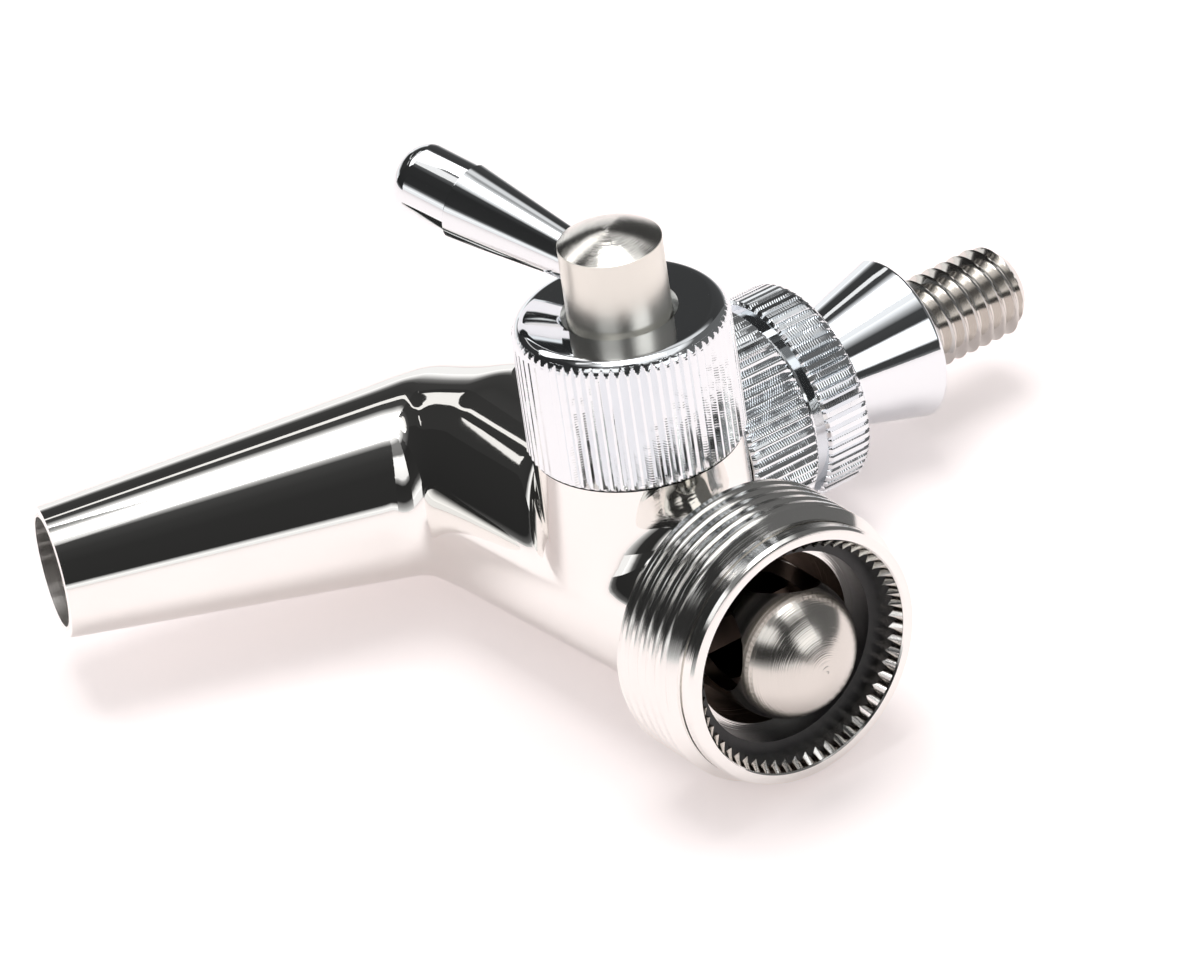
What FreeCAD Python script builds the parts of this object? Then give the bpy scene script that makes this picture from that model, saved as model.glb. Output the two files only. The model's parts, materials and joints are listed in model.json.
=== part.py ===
import FreeCAD, Part
import Sketcher
import math
import os
import re

# Flow-control beer faucet, installed: +Y into the wall shank, -Y to the user, +Z up to the handle,
# +X to the flow lever. The origin is the centre of the coupling's rear face. Millimetres and degrees.

# A size in quotes follows from others.
SIZES = [
    # wall coupling
    ("thread_radius", 14.2875, "major radius of the 1-1/8 in coupling thread"),
    ("relief_radius", 13.3, "smooth land between the face and the thread"),
    ("face_radius", 12.8, "outer edge of the flat ring face"),
    ("face_bevel", 0.5, "length of the bevel from the face to the land"),
    ("groove_start", 1.6, "thin groove in the land, from the face"),
    ("groove_end", 1.95, "end of that groove, from the face"),
    ("groove_radius", 12.9, "floor of that groove"),
    ("thread_start", 3.4, "first full thread, from the face"),
    ("thread_end", 10.9, "last full thread, from the face"),
    ("thread_runout", 0.7, "length of the bevel behind the thread"),
    # barrel, elbow and spout
    ("shoulder_radius", 11.9, "round front end of the barrel"),
    ("shoulder_from_face", 47.5, "centre of that round end, from the face"),
    ("barrel_taper", 2.7, "the barrel grows to the front"),
    ("elbow_radius", 10.3, "round outer corner of the elbow"),
    ("elbow_from_face", 55.1, "centre of the elbow's corner, from the face"),
    ("elbow_drop", 3.3, "centre of the elbow's corner, below the bore's axis"),
    ("spout_lean", 18.8, "spout's lean to the front from straight down"),
    ("spout_length", 40.6, "centre of the elbow's corner to the tip"),
    ("spout_tip_radius", 6.75, "outer radius at the tip"),
    ("branch_fillet", "min(2; 1.2 * (shoulder_radius - neck_radius))", "fillets of the two branches"),
    ("spout_bore_radius", 5.6, "bore at the tip"),
    ("spout_throat_radius", 6.4, "bore at the elbow"),
    ("throat_from_face", 54.0, "where the bores of barrel and spout cross, from the face"),
    # water way
    ("spline_root_radius", 11.86, "root of the alignment splines"),
    ("spline_tip_radius", 10.95, "tips of the splines"),
    ("spline_flank", 27.5, "lean of each flank"),
    ("spline_root_flat", 0.16, "flat between two splines"),
    ("spline_start", 0.2, "splines' sloping ends, from the face"),
    ("spline_slope", 0.35, "length of those ends"),
    ("socket_relief", 0.1, "plain bores above and below the splines, past their root"),
    ("socket_bevel", 0.15, "bevelled mouth of the socket"),
    ("washer_depth", 2.85, "coupling washer below the face"),
    ("washer_thickness", 2.5, "coupling washer"),
    ("washer_hole_radius", 9.85, "coupling washer"),
    ("chamber_radius", 8.9, "bore round the ports of the flow plug"),
    ("chamber_depth", 9.6, "end of that bore, from the face"),
    ("valve_bore_radius", 7.6, "bore of the barrel"),
    ("guide_depth", 17.6, "end of the flow plug's guide bore, from the face"),
    ("seat_from_face", 48.6, "wide end of the conical valve seat"),
    ("seat_bore_radius", 5.6, "throat behind the valve seat"),
    # flow plug
    ("plug_radius", 7.1, "domed head and skirt"),
    ("dome_from_face", 3.4, "centre of the dome, in front of the face"),
    ("plug_skirt_end", 13.3, "front end of the skirt, from the face"),
    ("plug_bore_radius", 5.5, "inside of the skirt"),
    ("plug_bore_end", 2.4, "end of that bore, from the face"),
    ("drill_point_depth", 1.8, "cone at the end of that bore"),
    ("port_radius", 3.95, "four round ports"),
    ("port_from_face", 4.9, "middle of the ports"),
    ("port_turn", 15.0, "turn of the ports about the bore"),
    ("tail_thickness", 3.0, "flat tail that the crank moves"),
    ("tail_half_height", 6.8, "flat tail"),
    ("tail_start", 9.5, "rear end of the tail inside the skirt"),
    ("tail_wall", 1.7, "metal in front of the tail's slot"),
    ("slot_clearance", 0.15, "crank pin in the tail's slot, each side"),
    # flow stem, crank and lever
    ("stem_from_face", 23.9, "axis of the flow stem, from the face"),
    ("boss_radius", 10.35, "side boss"),
    ("boss_end", 15.0, "shoulder of the side boss, from the bore's axis"),
    ("side_nipple_radius", 9.1, "threaded nipple under the flow bonnet"),
    ("side_nipple_end", 24.0, "end of that nipple"),
    ("stem_bore_radius", 6.05, "bore of the side boss"),
    ("pocket_radius", 8.0, "wide bore for the stem's flange"),
    ("pocket_floor", 19.8, "floor of that bore, from the bore's axis"),
    ("crank_radius", 5.0, "inner end of the stem"),
    ("crank_start", 3.2, "inner face of the crank"),
    ("crank_end", 7.9, "where the stem widens"),
    ("crank_throw", 3.0, "crank pin off the stem's axis"),
    ("crank_rest", 45.0, "crank pin behind straight down"),
    ("crank_pin_radius", 1.5, "crank pin"),
    ("crank_pin_reach", 2.6, "crank pin past the bore's axis"),
    ("crank_pin_depth", 2.4, "crank pin inside the crank"),
    ("stem_radius", 6.0, "stem inside the boss"),
    ("stem_outer_radius", 5.09, "stem outside the bonnet"),
    ("stem_rim", 36.9, "sharp rim of the domed end"),
    ("stem_dome_height", 1.3, "domed end above the rim"),
    ("flange_radius", 7.8, "flange that the bonnet holds down"),
    ("flange_thickness", 1.6, "flange"),
    ("thrust_thickness", 0.5, "slippery washer below the flange"),
    ("friction_thickness", 1.5, "friction washer over the flange"),
    ("groove_width", 2.0, "O-ring grooves of the stem"),
    ("stem_groove_floor", 4.75, "O-ring grooves of the stem"),
    ("inner_ring_place", 11.0, "inner O-ring, from the bore's axis"),
    ("outer_ring_place", 15.6, "outer O-ring, from the bore's axis"),
    ("lever_height", 32.75, "flow lever where it meets the stem's axis"),
    ("lever_drop", 14.1, "flow lever below straight ahead"),
    ("lever_rise", 10.9, "flow lever away from the body"),
    ("lever_root_radius", 2.5, "thin end, set in the stem"),
    ("lever_root_start", 1.6, "thin end, from the stem's axis"),
    ("lever_root_end", 5.8, "start of the taper"),
    ("lever_wide_radius", 3.95, "wide end of the taper"),
    ("lever_wide_end", 18.2, "wide end of the taper"),
    ("lever_step", 0.15, "bevel of the step"),
    ("lever_end_radius", 3.79, "plain end"),
    ("lever_length", 26.0, "flow lever, from the stem's axis"),
    ("lever_nose_radius", 2.58, "rounded end"),
    # flow bonnet
    ("flow_bonnet_start", "boss_end + 0.1", "rim of the flow bonnet, from the bore's axis"),
    ("flow_bonnet_radius", 10.67, "crest of the knurl"),
    ("flow_bonnet_shoulder", 27.43, "start of the rounded shoulder"),
    ("flow_bonnet_end", 29.2, "flat top"),
    ("flow_bonnet_top_radius", 9.06, "flat top"),
    ("flow_bonnet_rim_bevel", 0.35, "bevel of the rim"),
    ("flow_hole_mouth", 5.7, "bevelled hole round the stem"),
    ("flow_hole_bevel", 0.6, "depth of that bevel"),
    # handle socket and lever
    ("handle_from_face", 40.7, "axis of the handle, from the face"),
    ("pivot_height", 22.0, "centre of the pivot ball"),
    ("handle_bonnet_radius", 10.77, "crest of the knurl"),
    ("bonnet_wall", 1.67, "from that crest to the thread inside"),
    ("top_nipple_radius", "handle_bonnet_radius - bonnet_wall", "threaded nipple on the socket"),
    ("neck_step", 0.9, "ledge below the nipple"),
    ("neck_radius", "top_nipple_radius + neck_step", "handle socket"),
    ("neck_top", "pivot_height - 5.3", "shoulder of the socket, above the bore's axis"),
    ("socket_top", "pivot_height + 4", "end of the threaded socket"),
    ("socket_wall", 0.95, "metal round the pivot ball's bore"),
    ("socket_radius", "top_nipple_radius - socket_wall", "bore for the pivot ball"),
    ("socket_floor", "pivot_height - 6.4", "seat of the lower cup"),
    ("arm_hole_radius", "socket_radius - 0.75", "hole for the lever's arm"),
    ("ball_ring_space", 1.15, "room for the O-ring round the ball"),
    ("ball_radius", "socket_radius - ball_ring_space", "pivot ball"),
    ("arm_radius", 3.0, "arm below the ball"),
    ("arm_tip_radius", 2.3, "round tip in the shaft's slot"),
    ("arm_thin_radius", 1.7, "thin arm just above the tip"),
    ("arm_slot_radius", 2.2, "thin arm where it leaves the shaft's slot"),
    ("arm_thin_length", 8.2, "thin arm, from the centre of the tip"),
    ("arm_taper_end", 11.0, "full arm, from the centre of the tip"),
    ("lever_neck_radius", 4.2, "neck above the ball, through the collar"),
    ("stud_radius", 4.7625, "3/8 in handle stud"),
    ("stud_relief", 0.2, "bare neck between the collar and the stud's thread"),
    ("stud_bevel", 1.0, "bevelled end of the stud"),
    ("cup_height", 4.2, "lower cup"),
    ("cup_hole_radius", "ball_radius - 1.7", "lower cup"),
    ("ring_rise", 2.2, "friction ring above the pivot"),
    ("bonnet_washer_thickness", 0.6, "slippery washer under the handle bonnet"),
    ("bonnet_washer_hole", "ball_radius - 0.8", "slippery washer under the handle bonnet"),
    ("ball_seat_gap", 0.05, "running clearance of the pivot ball"),
    # handle bonnet and collar
    ("handle_bonnet_start", "neck_top + 0.1", "rim of the handle bonnet"),
    ("lower_band_end", "pivot_height + 2.5", "end of the lower knurled band"),
    ("upper_band_start", "lower_band_end + 1.3", "start of the upper knurled band"),
    ("band_groove_radius", "handle_bonnet_radius - 1.27", "groove between the bands"),
    ("upper_band_end", "upper_band_start + 4.4", "start of the rounded shoulder"),
    ("handle_bonnet_end", "upper_band_end + 1", "top of the handle bonnet"),
    ("handle_mouth_radius", "handle_bonnet_radius - 1.27", "flared mouth, at the top"),
    ("handle_mouth_throat", "socket_radius - 0.55", "flared mouth, at the bottom"),
    ("handle_mouth_depth", 3.4, "flared mouth"),
    ("collar_start", "handle_bonnet_end + 1.7", "narrow end of the handle collar"),
    ("collar_end", "collar_start + 9.6", "wide end of the handle collar"),
    ("stud_end", "collar_end + 13.7", "end of the stud"),
    ("collar_narrow_radius", 5.9, "narrow end"),
    ("collar_wide_radius", 8.45, "wide end"),
    ("collar_rim", 0.5, "rounded rim of the wide end"),
    # valve shaft and its seal
    ("shaft_start", 36.7, "rear end of the shaft, from the face"),
    ("shaft_hub_radius", 4.2, "hub of the shaft"),
    ("fin_radius", 7.5, "guide fins"),
    ("fin_thickness", 3.0, "guide fins"),
    ("fin_end", 46.2, "front end of the fins"),
    ("head_radius", 5.9, "head behind the seal"),
    ("head_start", 47.4, "head, from the face"),
    ("seal_groove_start", 48.05, "groove of the seal, from the face"),
    ("seal_groove_end", 50.6, "groove of the seal, from the face"),
    ("seal_section", 1.2, "section radius of the seal"),
    ("seal_radius", 5.1, "middle radius of the seal"),
    ("nose_radius", 4.9, "flange in front of the seal"),
    ("nose_flange", 0.7, "thickness of that flange"),
    ("nose_length", 3.0, "cone of the nose"),
    ("nose_tip_radius", 2.0, "end of the nose"),
    ("tip_slot_clearance", 0.06, "lever tip in the shaft's slot, each side"),
    ("tip_slot_floor", 2.7, "floor of that slot below the shaft's axis"),
    ("tip_slot_height", 2.0, "close-fitting part of the slot above the shaft's axis"),
    ("tip_slot_flare", 22.0, "front wall of the slot above that, for the tilted arm"),
    # clearances that several pieces share
    ("running_gap", 0.05, "turning and sliding fits"),
    ("seated_gap", 0.02, "pressed and squeezed pieces"),
    ("thread_gap", 0.1, "bonnets on their nipples, collar on the lever's neck"),
]

FULL_TURN = 360
SPLINE_COUNT = 57
PORT_COUNT = 4
FIN_COUNT = 4
EDGE_SAMPLES = 6
EDGE_TOLERANCE = 0.02

doc = FreeCAD.newDocument("beer_faucet")
sheet = doc.addObject("Spreadsheet::Sheet", "sizes")
for row, (alias, size, note) in enumerate(SIZES, 1):
    sheet.set(f"A{row}", alias)
    sheet.set(f"B{row}", f"={size}")
    sheet.set(f"C{row}", note)
    sheet.setAlias(f"B{row}", alias)
doc.recompute()
ALIASES = {alias for alias, size, note in SIZES}


def cells(formula):
    """the formula with each size's name turned into its cell"""
    return re.sub(r"[a-z_]+", lambda m: f"<<sizes>>.{m[0]}" if m[0] in ALIASES else m[0], formula)


def value(formula):
    result = sheet.evalExpression(cells(formula))
    return float(getattr(result, "Value", result))


def bind(obj, **formulas):
    for name, formula in formulas.items():
        obj.setExpression(name.replace("__", "."), cells(formula))


# Sketches and bodies

def new_body(name):
    return doc.addObject("PartDesign::Body", name)


def new_sketch(body, name, plane, offset=None):
    """a sketch on one of the body's own origin planes, moved along its normal by a formula"""
    sketch = body.newObject("Sketcher::SketchObject", name)
    support = next(f for f in body.Origin.OriginFeatures if f.Role == plane)
    sketch.AttachmentSupport = (support, [""])
    sketch.MapMode = "FlatFace"
    if offset:
        sketch.setExpression("AttachmentOffset.Base.z", cells(offset))
    return sketch


def arc_between(start, end, radius):
    """the short arc from start to end; a positive radius turns to the left"""
    chord = end.sub(start)
    half = chord.Length / 2
    sagitta = abs(radius) - math.sqrt(max(radius * radius - half * half, 0))
    side = FreeCAD.Vector(chord.y, -chord.x, 0).normalize()
    middle = start.add(end).multiply(0.5).add(side.multiply(math.copysign(sagitta, radius)))
    return Part.Arc(start, middle, end)


def outline(sketch, corners, bends=None):
    """a closed outline through corners given as pairs of formulas; bends gives the radius of the
    arc that leaves a corner, positive where it turns to the left"""
    bends = bends or {}
    points = [FreeCAD.Vector(value(x), value(y), 0) for x, y in corners]
    count = len(points)
    ends = []
    for i, start in enumerate(points):
        end = points[(i + 1) % count]
        if i not in bends:
            index = sketch.addGeometry(Part.LineSegment(start, end))
            ends.append((index, 1, 2))
            continue
        radius = value(bends[i])
        index = sketch.addGeometry(arc_between(start, end, radius))
        ends.append((index, 1, 2) if radius > 0 else (index, 2, 1))
        size = "abs(" + bends[i] + ")"
        mark = sketch.addConstraint(Sketcher.Constraint("Radius", index, abs(radius)))
        sketch.setExpression(f"Constraints[{mark}]", cells(size))
    for i, (x, y) in enumerate(corners):
        index, head, tail = ends[i]
        before, first, last = ends[i - 1]
        sketch.addConstraint(Sketcher.Constraint("Coincident", before, last, index, head))
        for kind, formula, axis in (("DistanceX", x, -2), ("DistanceY", y, -1)):
            if formula == "0":
                sketch.addConstraint(Sketcher.Constraint("PointOnObject", index, head, axis))
                continue
            mark = sketch.addConstraint(Sketcher.Constraint(kind, index, head, value(formula)))
            sketch.setExpression(f"Constraints[{mark}]", cells(formula))


def turned(name, corners, bends=None):
    """a body turned about its own Z axis from half an outline of radius and height"""
    body = new_body(name)
    sketch = new_sketch(body, name + "_outline", "XZ_Plane")
    outline(sketch, corners, bends)
    turn = body.newObject("PartDesign::Revolution", name + "_turned")
    turn.Profile = sketch
    turn.ReferenceAxis = (sketch, ["V_Axis"])
    turn.Angle = FULL_TURN
    body.Tip = turn
    doc.recompute()
    return body


def o_ring(name, radius, section):
    ring = doc.addObject("Part::Torus", name)
    bind(ring, Radius1=radius, Radius2=section)
    return ring


def cylinder(name, radius, length, place):
    rod = doc.addObject("Part::Cylinder", name)
    bind(rod, Radius=radius, Height=length)
    rod.Placement = place
    return rod


def cut(name, base, tools):
    if len(tools) > 1:
        tool = doc.addObject("Part::MultiFuse", name + "_cuts")
        tool.Shapes = tools
    else:
        tool = tools[0]
    result = doc.addObject("Part::Cut", name)
    result.Base = base
    result.Tool = tool
    return result


# Axes of the faucet

def along_bore(distance="0"):
    """local Z becomes +Y, the distance is in front of the coupling's face"""
    turn = FreeCAD.Rotation(FreeCAD.Vector(1, 0, 0), -90)
    return FreeCAD.Placement(FreeCAD.Vector(0, -value(distance), 0), turn)


def along_stem(height="0"):
    """local Z becomes +X on the flow stem's axis"""
    turn = FreeCAD.Rotation(FreeCAD.Vector(0, 1, 0), 90)
    return FreeCAD.Placement(FreeCAD.Vector(value(height), -value("stem_from_face"), 0), turn)


def along_handle(height="0"):
    """local Z stays up on the handle's axis"""
    place = FreeCAD.Vector(0, -value("handle_from_face"), value(height))
    return FreeCAD.Placement(place, FreeCAD.Rotation())


def along_lever(distance="0"):
    """local Z points out along the flow lever, from the stem's axis"""
    rise = math.radians(value("lever_rise"))
    drop = math.radians(value("lever_drop"))
    way = FreeCAD.Vector(math.sin(rise), -math.cos(rise) * math.cos(drop), -math.cos(rise) * math.sin(drop))
    foot = FreeCAD.Vector(value("lever_height"), -value("stem_from_face"), 0)
    turn = FreeCAD.Rotation(FreeCAD.Vector(0, 0, 1), way)
    return FreeCAD.Placement(foot.add(way.multiply(value(distance))), turn)


def along_spout(distance="0"):
    """local Z points out of the spout, from the centre of the elbow"""
    lean = math.radians(value("spout_lean"))
    way = FreeCAD.Vector(0, -math.sin(lean), -math.cos(lean))
    elbow = FreeCAD.Vector(0, -value("elbow_from_face"), -value("elbow_drop"))
    turn = FreeCAD.Rotation(FreeCAD.Vector(1, 0, 0), 180 - value("spout_lean"))
    return FreeCAD.Placement(elbow.add(way.multiply(value(distance))), turn)


# Faucet body, one piece of stainless steel

SPOUT_TAPER = ("2 * atan((spout_length - sqrt(spout_length ^ 2 + spout_tip_radius ^ 2 - elbow_radius ^ 2))"
               " / (elbow_radius + spout_tip_radius))")
BARREL_REAR = "(thread_end + thread_runout)"
BARREL_REAR_RADIUS = (f"((shoulder_radius - (shoulder_from_face - {BARREL_REAR}) * sin(barrel_taper))"
                      " / cos(barrel_taper))")


def spout_outside():
    """the elbow's round corner and the cone that leaves it"""
    spout = turned("spout", [
        ("0", "-elbow_radius"),
        (f"elbow_radius * cos({SPOUT_TAPER})", f"elbow_radius * sin({SPOUT_TAPER})"),
        ("spout_tip_radius", "spout_length"),
        ("0", "spout_length"),
    ], {0: "elbow_radius"})
    spout.Placement = along_spout()
    return spout


def elbow_link():
    """the short cone that touches the barrel's round end and the elbow's corner"""
    span = "sqrt((elbow_from_face - shoulder_from_face) ^ 2 + elbow_drop ^ 2)"
    slope = f"asin((shoulder_radius - elbow_radius) / {span})"
    link = doc.addObject("Part::Cone", "elbow_link")
    bind(link, Radius1=f"shoulder_radius * cos({slope})", Radius2=f"elbow_radius * cos({slope})")
    bind(link, Height=f"{span} - (shoulder_radius - elbow_radius) * sin({slope})")
    shoulder = FreeCAD.Vector(0, -value("shoulder_from_face"), 0)
    way = along_spout().Base.sub(shoulder).normalize()
    foot = shoulder.add(FreeCAD.Vector(way).multiply(value(f"shoulder_radius * sin({slope})")))
    link.Placement = FreeCAD.Placement(foot, FreeCAD.Rotation(FreeCAD.Vector(0, 0, 1), way))
    return link


def body_outside():
    touch = "shoulder_radius * cos(barrel_taper)"
    barrel = turned("barrel", [
        ("0", "0"),
        ("face_radius", "0"),
        ("relief_radius", "-face_bevel"),
        ("relief_radius", "-groove_start"),
        ("groove_radius", "-groove_start"),
        ("groove_radius", "-groove_end"),
        ("relief_radius", "-groove_end"),
        ("relief_radius", "-thread_start + thread_radius - relief_radius"),
        ("thread_radius", "-thread_start"),
        ("thread_radius", "-thread_end"),
        (BARREL_REAR_RADIUS, f"-{BARREL_REAR}"),
        (touch, "-shoulder_from_face + shoulder_radius * sin(barrel_taper)"),
        ("0", "-shoulder_from_face - shoulder_radius"),
    ], {11: "-shoulder_radius"})
    barrel.Placement = along_bore()
    sharp = doc.addObject("Part::MultiFuse", "body_outside_sharp")
    sharp.Shapes = [
        barrel,
        elbow_link(),
        spout_outside(),
        cylinder("side_boss", "boss_radius", "boss_end", along_stem()),
        cylinder("side_nipple", "side_nipple_radius", "side_nipple_end", along_stem()),
        cylinder("handle_neck", "neck_radius", "neck_top", along_handle()),
        cylinder("top_nipple", "top_nipple_radius", "socket_top", along_handle()),
    ]
    doc.recompute()
    corners = root_edges(sharp, along_stem(), "boss_radius", "boss_end")
    corners += root_edges(sharp, along_handle(), "neck_radius", "neck_top")
    outside = doc.addObject("Part::Fillet", "body_outside")
    outside.Base = sharp
    outside.Edges = [(number, value("branch_fillet"), value("branch_fillet")) for number in corners]
    return outside


def root_edges(solid, place, radius, end):
    """numbers of the edges where a round branch leaves the barrel"""
    found = []
    for number, edge in enumerate(solid.Shape.Edges, 1):
        first, last = edge.ParameterRange
        steps = [first + (last - first) * k / EDGE_SAMPLES for k in range(EDGE_SAMPLES + 1)]
        spots = [place.inverse().multVec(edge.valueAt(step)) for step in steps]
        on_branch = all(abs(math.hypot(p.x, p.y) - value(radius)) < EDGE_TOLERANCE for p in spots)
        if on_branch and all(p.z < value(end) - EDGE_TOLERANCE for p in spots):
            found.append(number)
    return found


SOCKET_RADIUS = "(spline_root_radius + socket_relief)"


def spline_broach():
    """the splined socket as a solid to cut: a core with one wedge for each gap between two splines"""
    broach_end = "-washer_depth - socket_relief"
    body = turned("spline_broach", [
        ("0", "socket_bevel"),
        (f"{SOCKET_RADIUS} + 2 * socket_bevel", "socket_bevel"),
        (SOCKET_RADIUS, "-socket_bevel"),
        (SOCKET_RADIUS, "-spline_start"),
        ("spline_tip_radius", "-spline_start - spline_slope"),
        ("spline_tip_radius", broach_end),
        ("0", broach_end),
    ])
    face = new_sketch(body, "spline_gap_outline", "XY_Plane", broach_end)
    inner = "spline_tip_radius - socket_relief"
    inner_half = f"spline_root_flat / 2 + (spline_root_radius - {inner}) * tan(spline_flank)"
    outline(face, [
        (inner, f"-({inner_half})"),
        ("spline_root_radius", "-spline_root_flat / 2"),
        ("spline_root_radius", "spline_root_flat / 2"),
        (inner, inner_half),
    ])
    gap = body.newObject("PartDesign::Pad", "spline_gap")
    gap.Profile = face
    bind(gap, Length="washer_depth + socket_relief")
    doc.recompute()
    gaps = body.newObject("PartDesign::PolarPattern", "spline_gaps")
    gaps.Originals = [gap]
    gaps.Axis = (face, ["N_Axis"])
    gaps.Angle = FULL_TURN
    gaps.Occurrences = SPLINE_COUNT
    body.Tip = gaps
    doc.recompute()
    body.Placement = along_bore()
    return body


def body_inside():
    """the water way and the two side bores, as solids to cut"""
    washer_floor = "-washer_depth - washer_thickness"
    water_way = turned("water_way", [
        ("0", "-washer_depth"),
        (SOCKET_RADIUS, "-washer_depth"),
        (SOCKET_RADIUS, washer_floor),
        ("chamber_radius", washer_floor),
        ("chamber_radius", "-chamber_depth"),
        ("plug_radius + running_gap", "-chamber_depth"),
        ("plug_radius + running_gap", "-guide_depth"),
        ("valve_bore_radius", "-guide_depth"),
        ("valve_bore_radius", "-seat_from_face"),
        ("seat_bore_radius", "-seat_from_face - valve_bore_radius + seat_bore_radius"),
        ("seat_bore_radius", "-throat_from_face"),
        ("0", "-throat_from_face"),
    ])
    water_way.Placement = along_bore()
    above_elbow = "elbow_drop / cos(spout_lean)"
    throat = doc.addObject("Part::Sphere", "elbow_throat")
    bind(throat, Radius="spout_throat_radius")
    throat.Placement = along_spout(f"-{above_elbow}")
    spout_bore = doc.addObject("Part::Cone", "spout_bore")
    bind(spout_bore, Radius1="spout_throat_radius", Radius2="spout_bore_radius")
    bind(spout_bore, Height=f"spout_length + {above_elbow}")
    spout_bore.Placement = along_spout(f"-{above_elbow}")
    return [
        spline_broach(),
        water_way,
        throat,
        spout_bore,
        cylinder("stem_bore", "stem_bore_radius", "side_nipple_end", along_stem()),
        cylinder("flange_pocket", "pocket_radius", "side_nipple_end", along_stem("pocket_floor")),
        cylinder("arm_hole", "arm_hole_radius", "socket_top", along_handle()),
        cylinder("ball_socket", "socket_radius", "socket_top", along_handle("socket_floor")),
    ]


def faucet_body():
    return cut("faucet_body", body_outside(), body_inside())


# Coupling washer and flow plug

def coupling_washer():
    ring = turned("coupling_washer", [
        ("washer_hole_radius", "0"),
        ("spline_root_radius", "0"),
        ("spline_root_radius", "washer_thickness"),
        ("washer_hole_radius", "washer_thickness"),
    ])
    ring.Placement = along_bore("washer_depth + washer_thickness")
    return ring


CRANK_Y = "crank_throw * sin(crank_rest)"
CRANK_Z = "crank_throw * cos(crank_rest)"
SLOT_PLACE = f"stem_from_face - {CRANK_Y}"
SLOT_HALF = "(crank_pin_radius + slot_clearance)"


def flow_plug():
    body = turned("plug_blank", [
        ("0", "plug_radius - dome_from_face"),
        ("0", "-plug_bore_end + drill_point_depth"),
        ("plug_bore_radius", "-plug_bore_end"),
        ("plug_bore_radius", "-plug_skirt_end"),
        ("plug_radius", "-plug_skirt_end"),
        ("plug_radius", "-dome_from_face"),
    ], {5: "plug_radius"})
    tail_front = f"{SLOT_PLACE} + {SLOT_HALF} + tail_wall"
    blade = new_sketch(body, "tail_outline", "YZ_Plane")
    outline(blade, [
        ("-tail_half_height", "-tail_start"),
        ("-tail_half_height", f"-({tail_front})"),
        ("tail_half_height", f"-({tail_front})"),
        ("tail_half_height", "-tail_start"),
    ])
    tail = body.newObject("PartDesign::Pad", "tail")
    tail.Profile = blade
    tail.SideType = "Symmetric"
    bind(tail, Length="tail_thickness")
    doc.recompute()
    window = new_sketch(body, "slot_outline", "YZ_Plane")
    low = f"{CRANK_Z} - {SLOT_HALF} - slot_clearance"
    high = f"crank_throw + {SLOT_HALF} + slot_clearance"
    outline(window, [
        (low, f"-({SLOT_PLACE}) - {SLOT_HALF}"),
        (high, f"-({SLOT_PLACE}) - {SLOT_HALF}"),
        (high, f"-({SLOT_PLACE}) + {SLOT_HALF}"),
        (low, f"-({SLOT_PLACE}) + {SLOT_HALF}"),
    ])
    slot = body.newObject("PartDesign::Pocket", "tail_slot")
    slot.Profile = window
    slot.SideType = "Symmetric"
    slot.Type = "ThroughAll"
    doc.recompute()
    body.Tip = slot
    doc.recompute()
    ports = doc.addObject("Part::MultiFuse", "ports")
    ports.Shapes = [port(i) for i in range(PORT_COUNT)]
    body.Placement = along_bore()
    return cut("flow_plug", body, [ports])


def port(number):
    """one round port, drilled square to the bore"""
    hole = doc.addObject("Part::Cylinder", f"port_{number}")
    bind(hole, Radius="port_radius", Height="plug_radius + 1")
    spin = FreeCAD.Rotation(FreeCAD.Vector(0, 1, 0), 90 - value("port_turn") - number * FULL_TURN / PORT_COUNT)
    hole.Placement = FreeCAD.Placement(FreeCAD.Vector(0, -value("port_from_face"), 0), spin)
    return hole


# Flow stem, its seals, bonnet and lever

FLANGE_LOW = "pocket_floor + thrust_thickness"
FLANGE_HIGH = "(pocket_floor + thrust_thickness + flange_thickness)"
DOME_RADIUS = "((stem_outer_radius ^ 2 + stem_dome_height ^ 2) / (2 * stem_dome_height))"


def flow_stem():
    half = "groove_width / 2"
    body = turned("stem_blank", [
        ("0", "crank_start"),
        ("crank_radius", "crank_start"),
        ("crank_radius", "crank_end"),
        ("stem_radius", "crank_end"),
        ("stem_radius", f"inner_ring_place - {half}"),
        ("stem_groove_floor", f"inner_ring_place - {half}"),
        ("stem_groove_floor", f"inner_ring_place + {half}"),
        ("stem_radius", f"inner_ring_place + {half}"),
        ("stem_radius", f"outer_ring_place - {half}"),
        ("stem_groove_floor", f"outer_ring_place - {half}"),
        ("stem_groove_floor", f"outer_ring_place + {half}"),
        ("stem_radius", f"outer_ring_place + {half}"),
        ("stem_radius", FLANGE_LOW),
        ("flange_radius", FLANGE_LOW),
        ("flange_radius", FLANGE_HIGH),
        ("stem_outer_radius", FLANGE_HIGH),
        ("stem_outer_radius", "stem_rim"),
        ("0", "stem_rim + stem_dome_height"),
    ], {16: DOME_RADIUS})
    body.Placement = along_stem()
    pin_hole = cylinder("crank_pin_hole", "crank_pin_radius + seated_gap", "crank_pin_depth + crank_start",
                        crank_pin_place())
    lever_hole = cylinder("lever_hole", "lever_root_radius + seated_gap", "stem_outer_radius * 2",
                          along_lever("lever_root_start"))
    return cut("flow_stem", body, [pin_hole, lever_hole])


def crank_pin_place(start="0"):
    """local Z becomes +X on the crank pin's axis"""
    place = along_stem(start)
    place.Base = place.Base.add(FreeCAD.Vector(0, value(CRANK_Y), -value(CRANK_Z)))
    return place


def crank_pin():
    return cylinder("crank_pin", "crank_pin_radius", "crank_pin_reach + crank_start + crank_pin_depth",
                    crank_pin_place("-crank_pin_reach"))


def stem_ring(name, height):
    ring = o_ring(name, "(stem_groove_floor + stem_bore_radius) / 2",
                  "(stem_bore_radius - stem_groove_floor) / 2 - seated_gap")
    ring.Placement = along_stem(height)
    return ring


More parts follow.
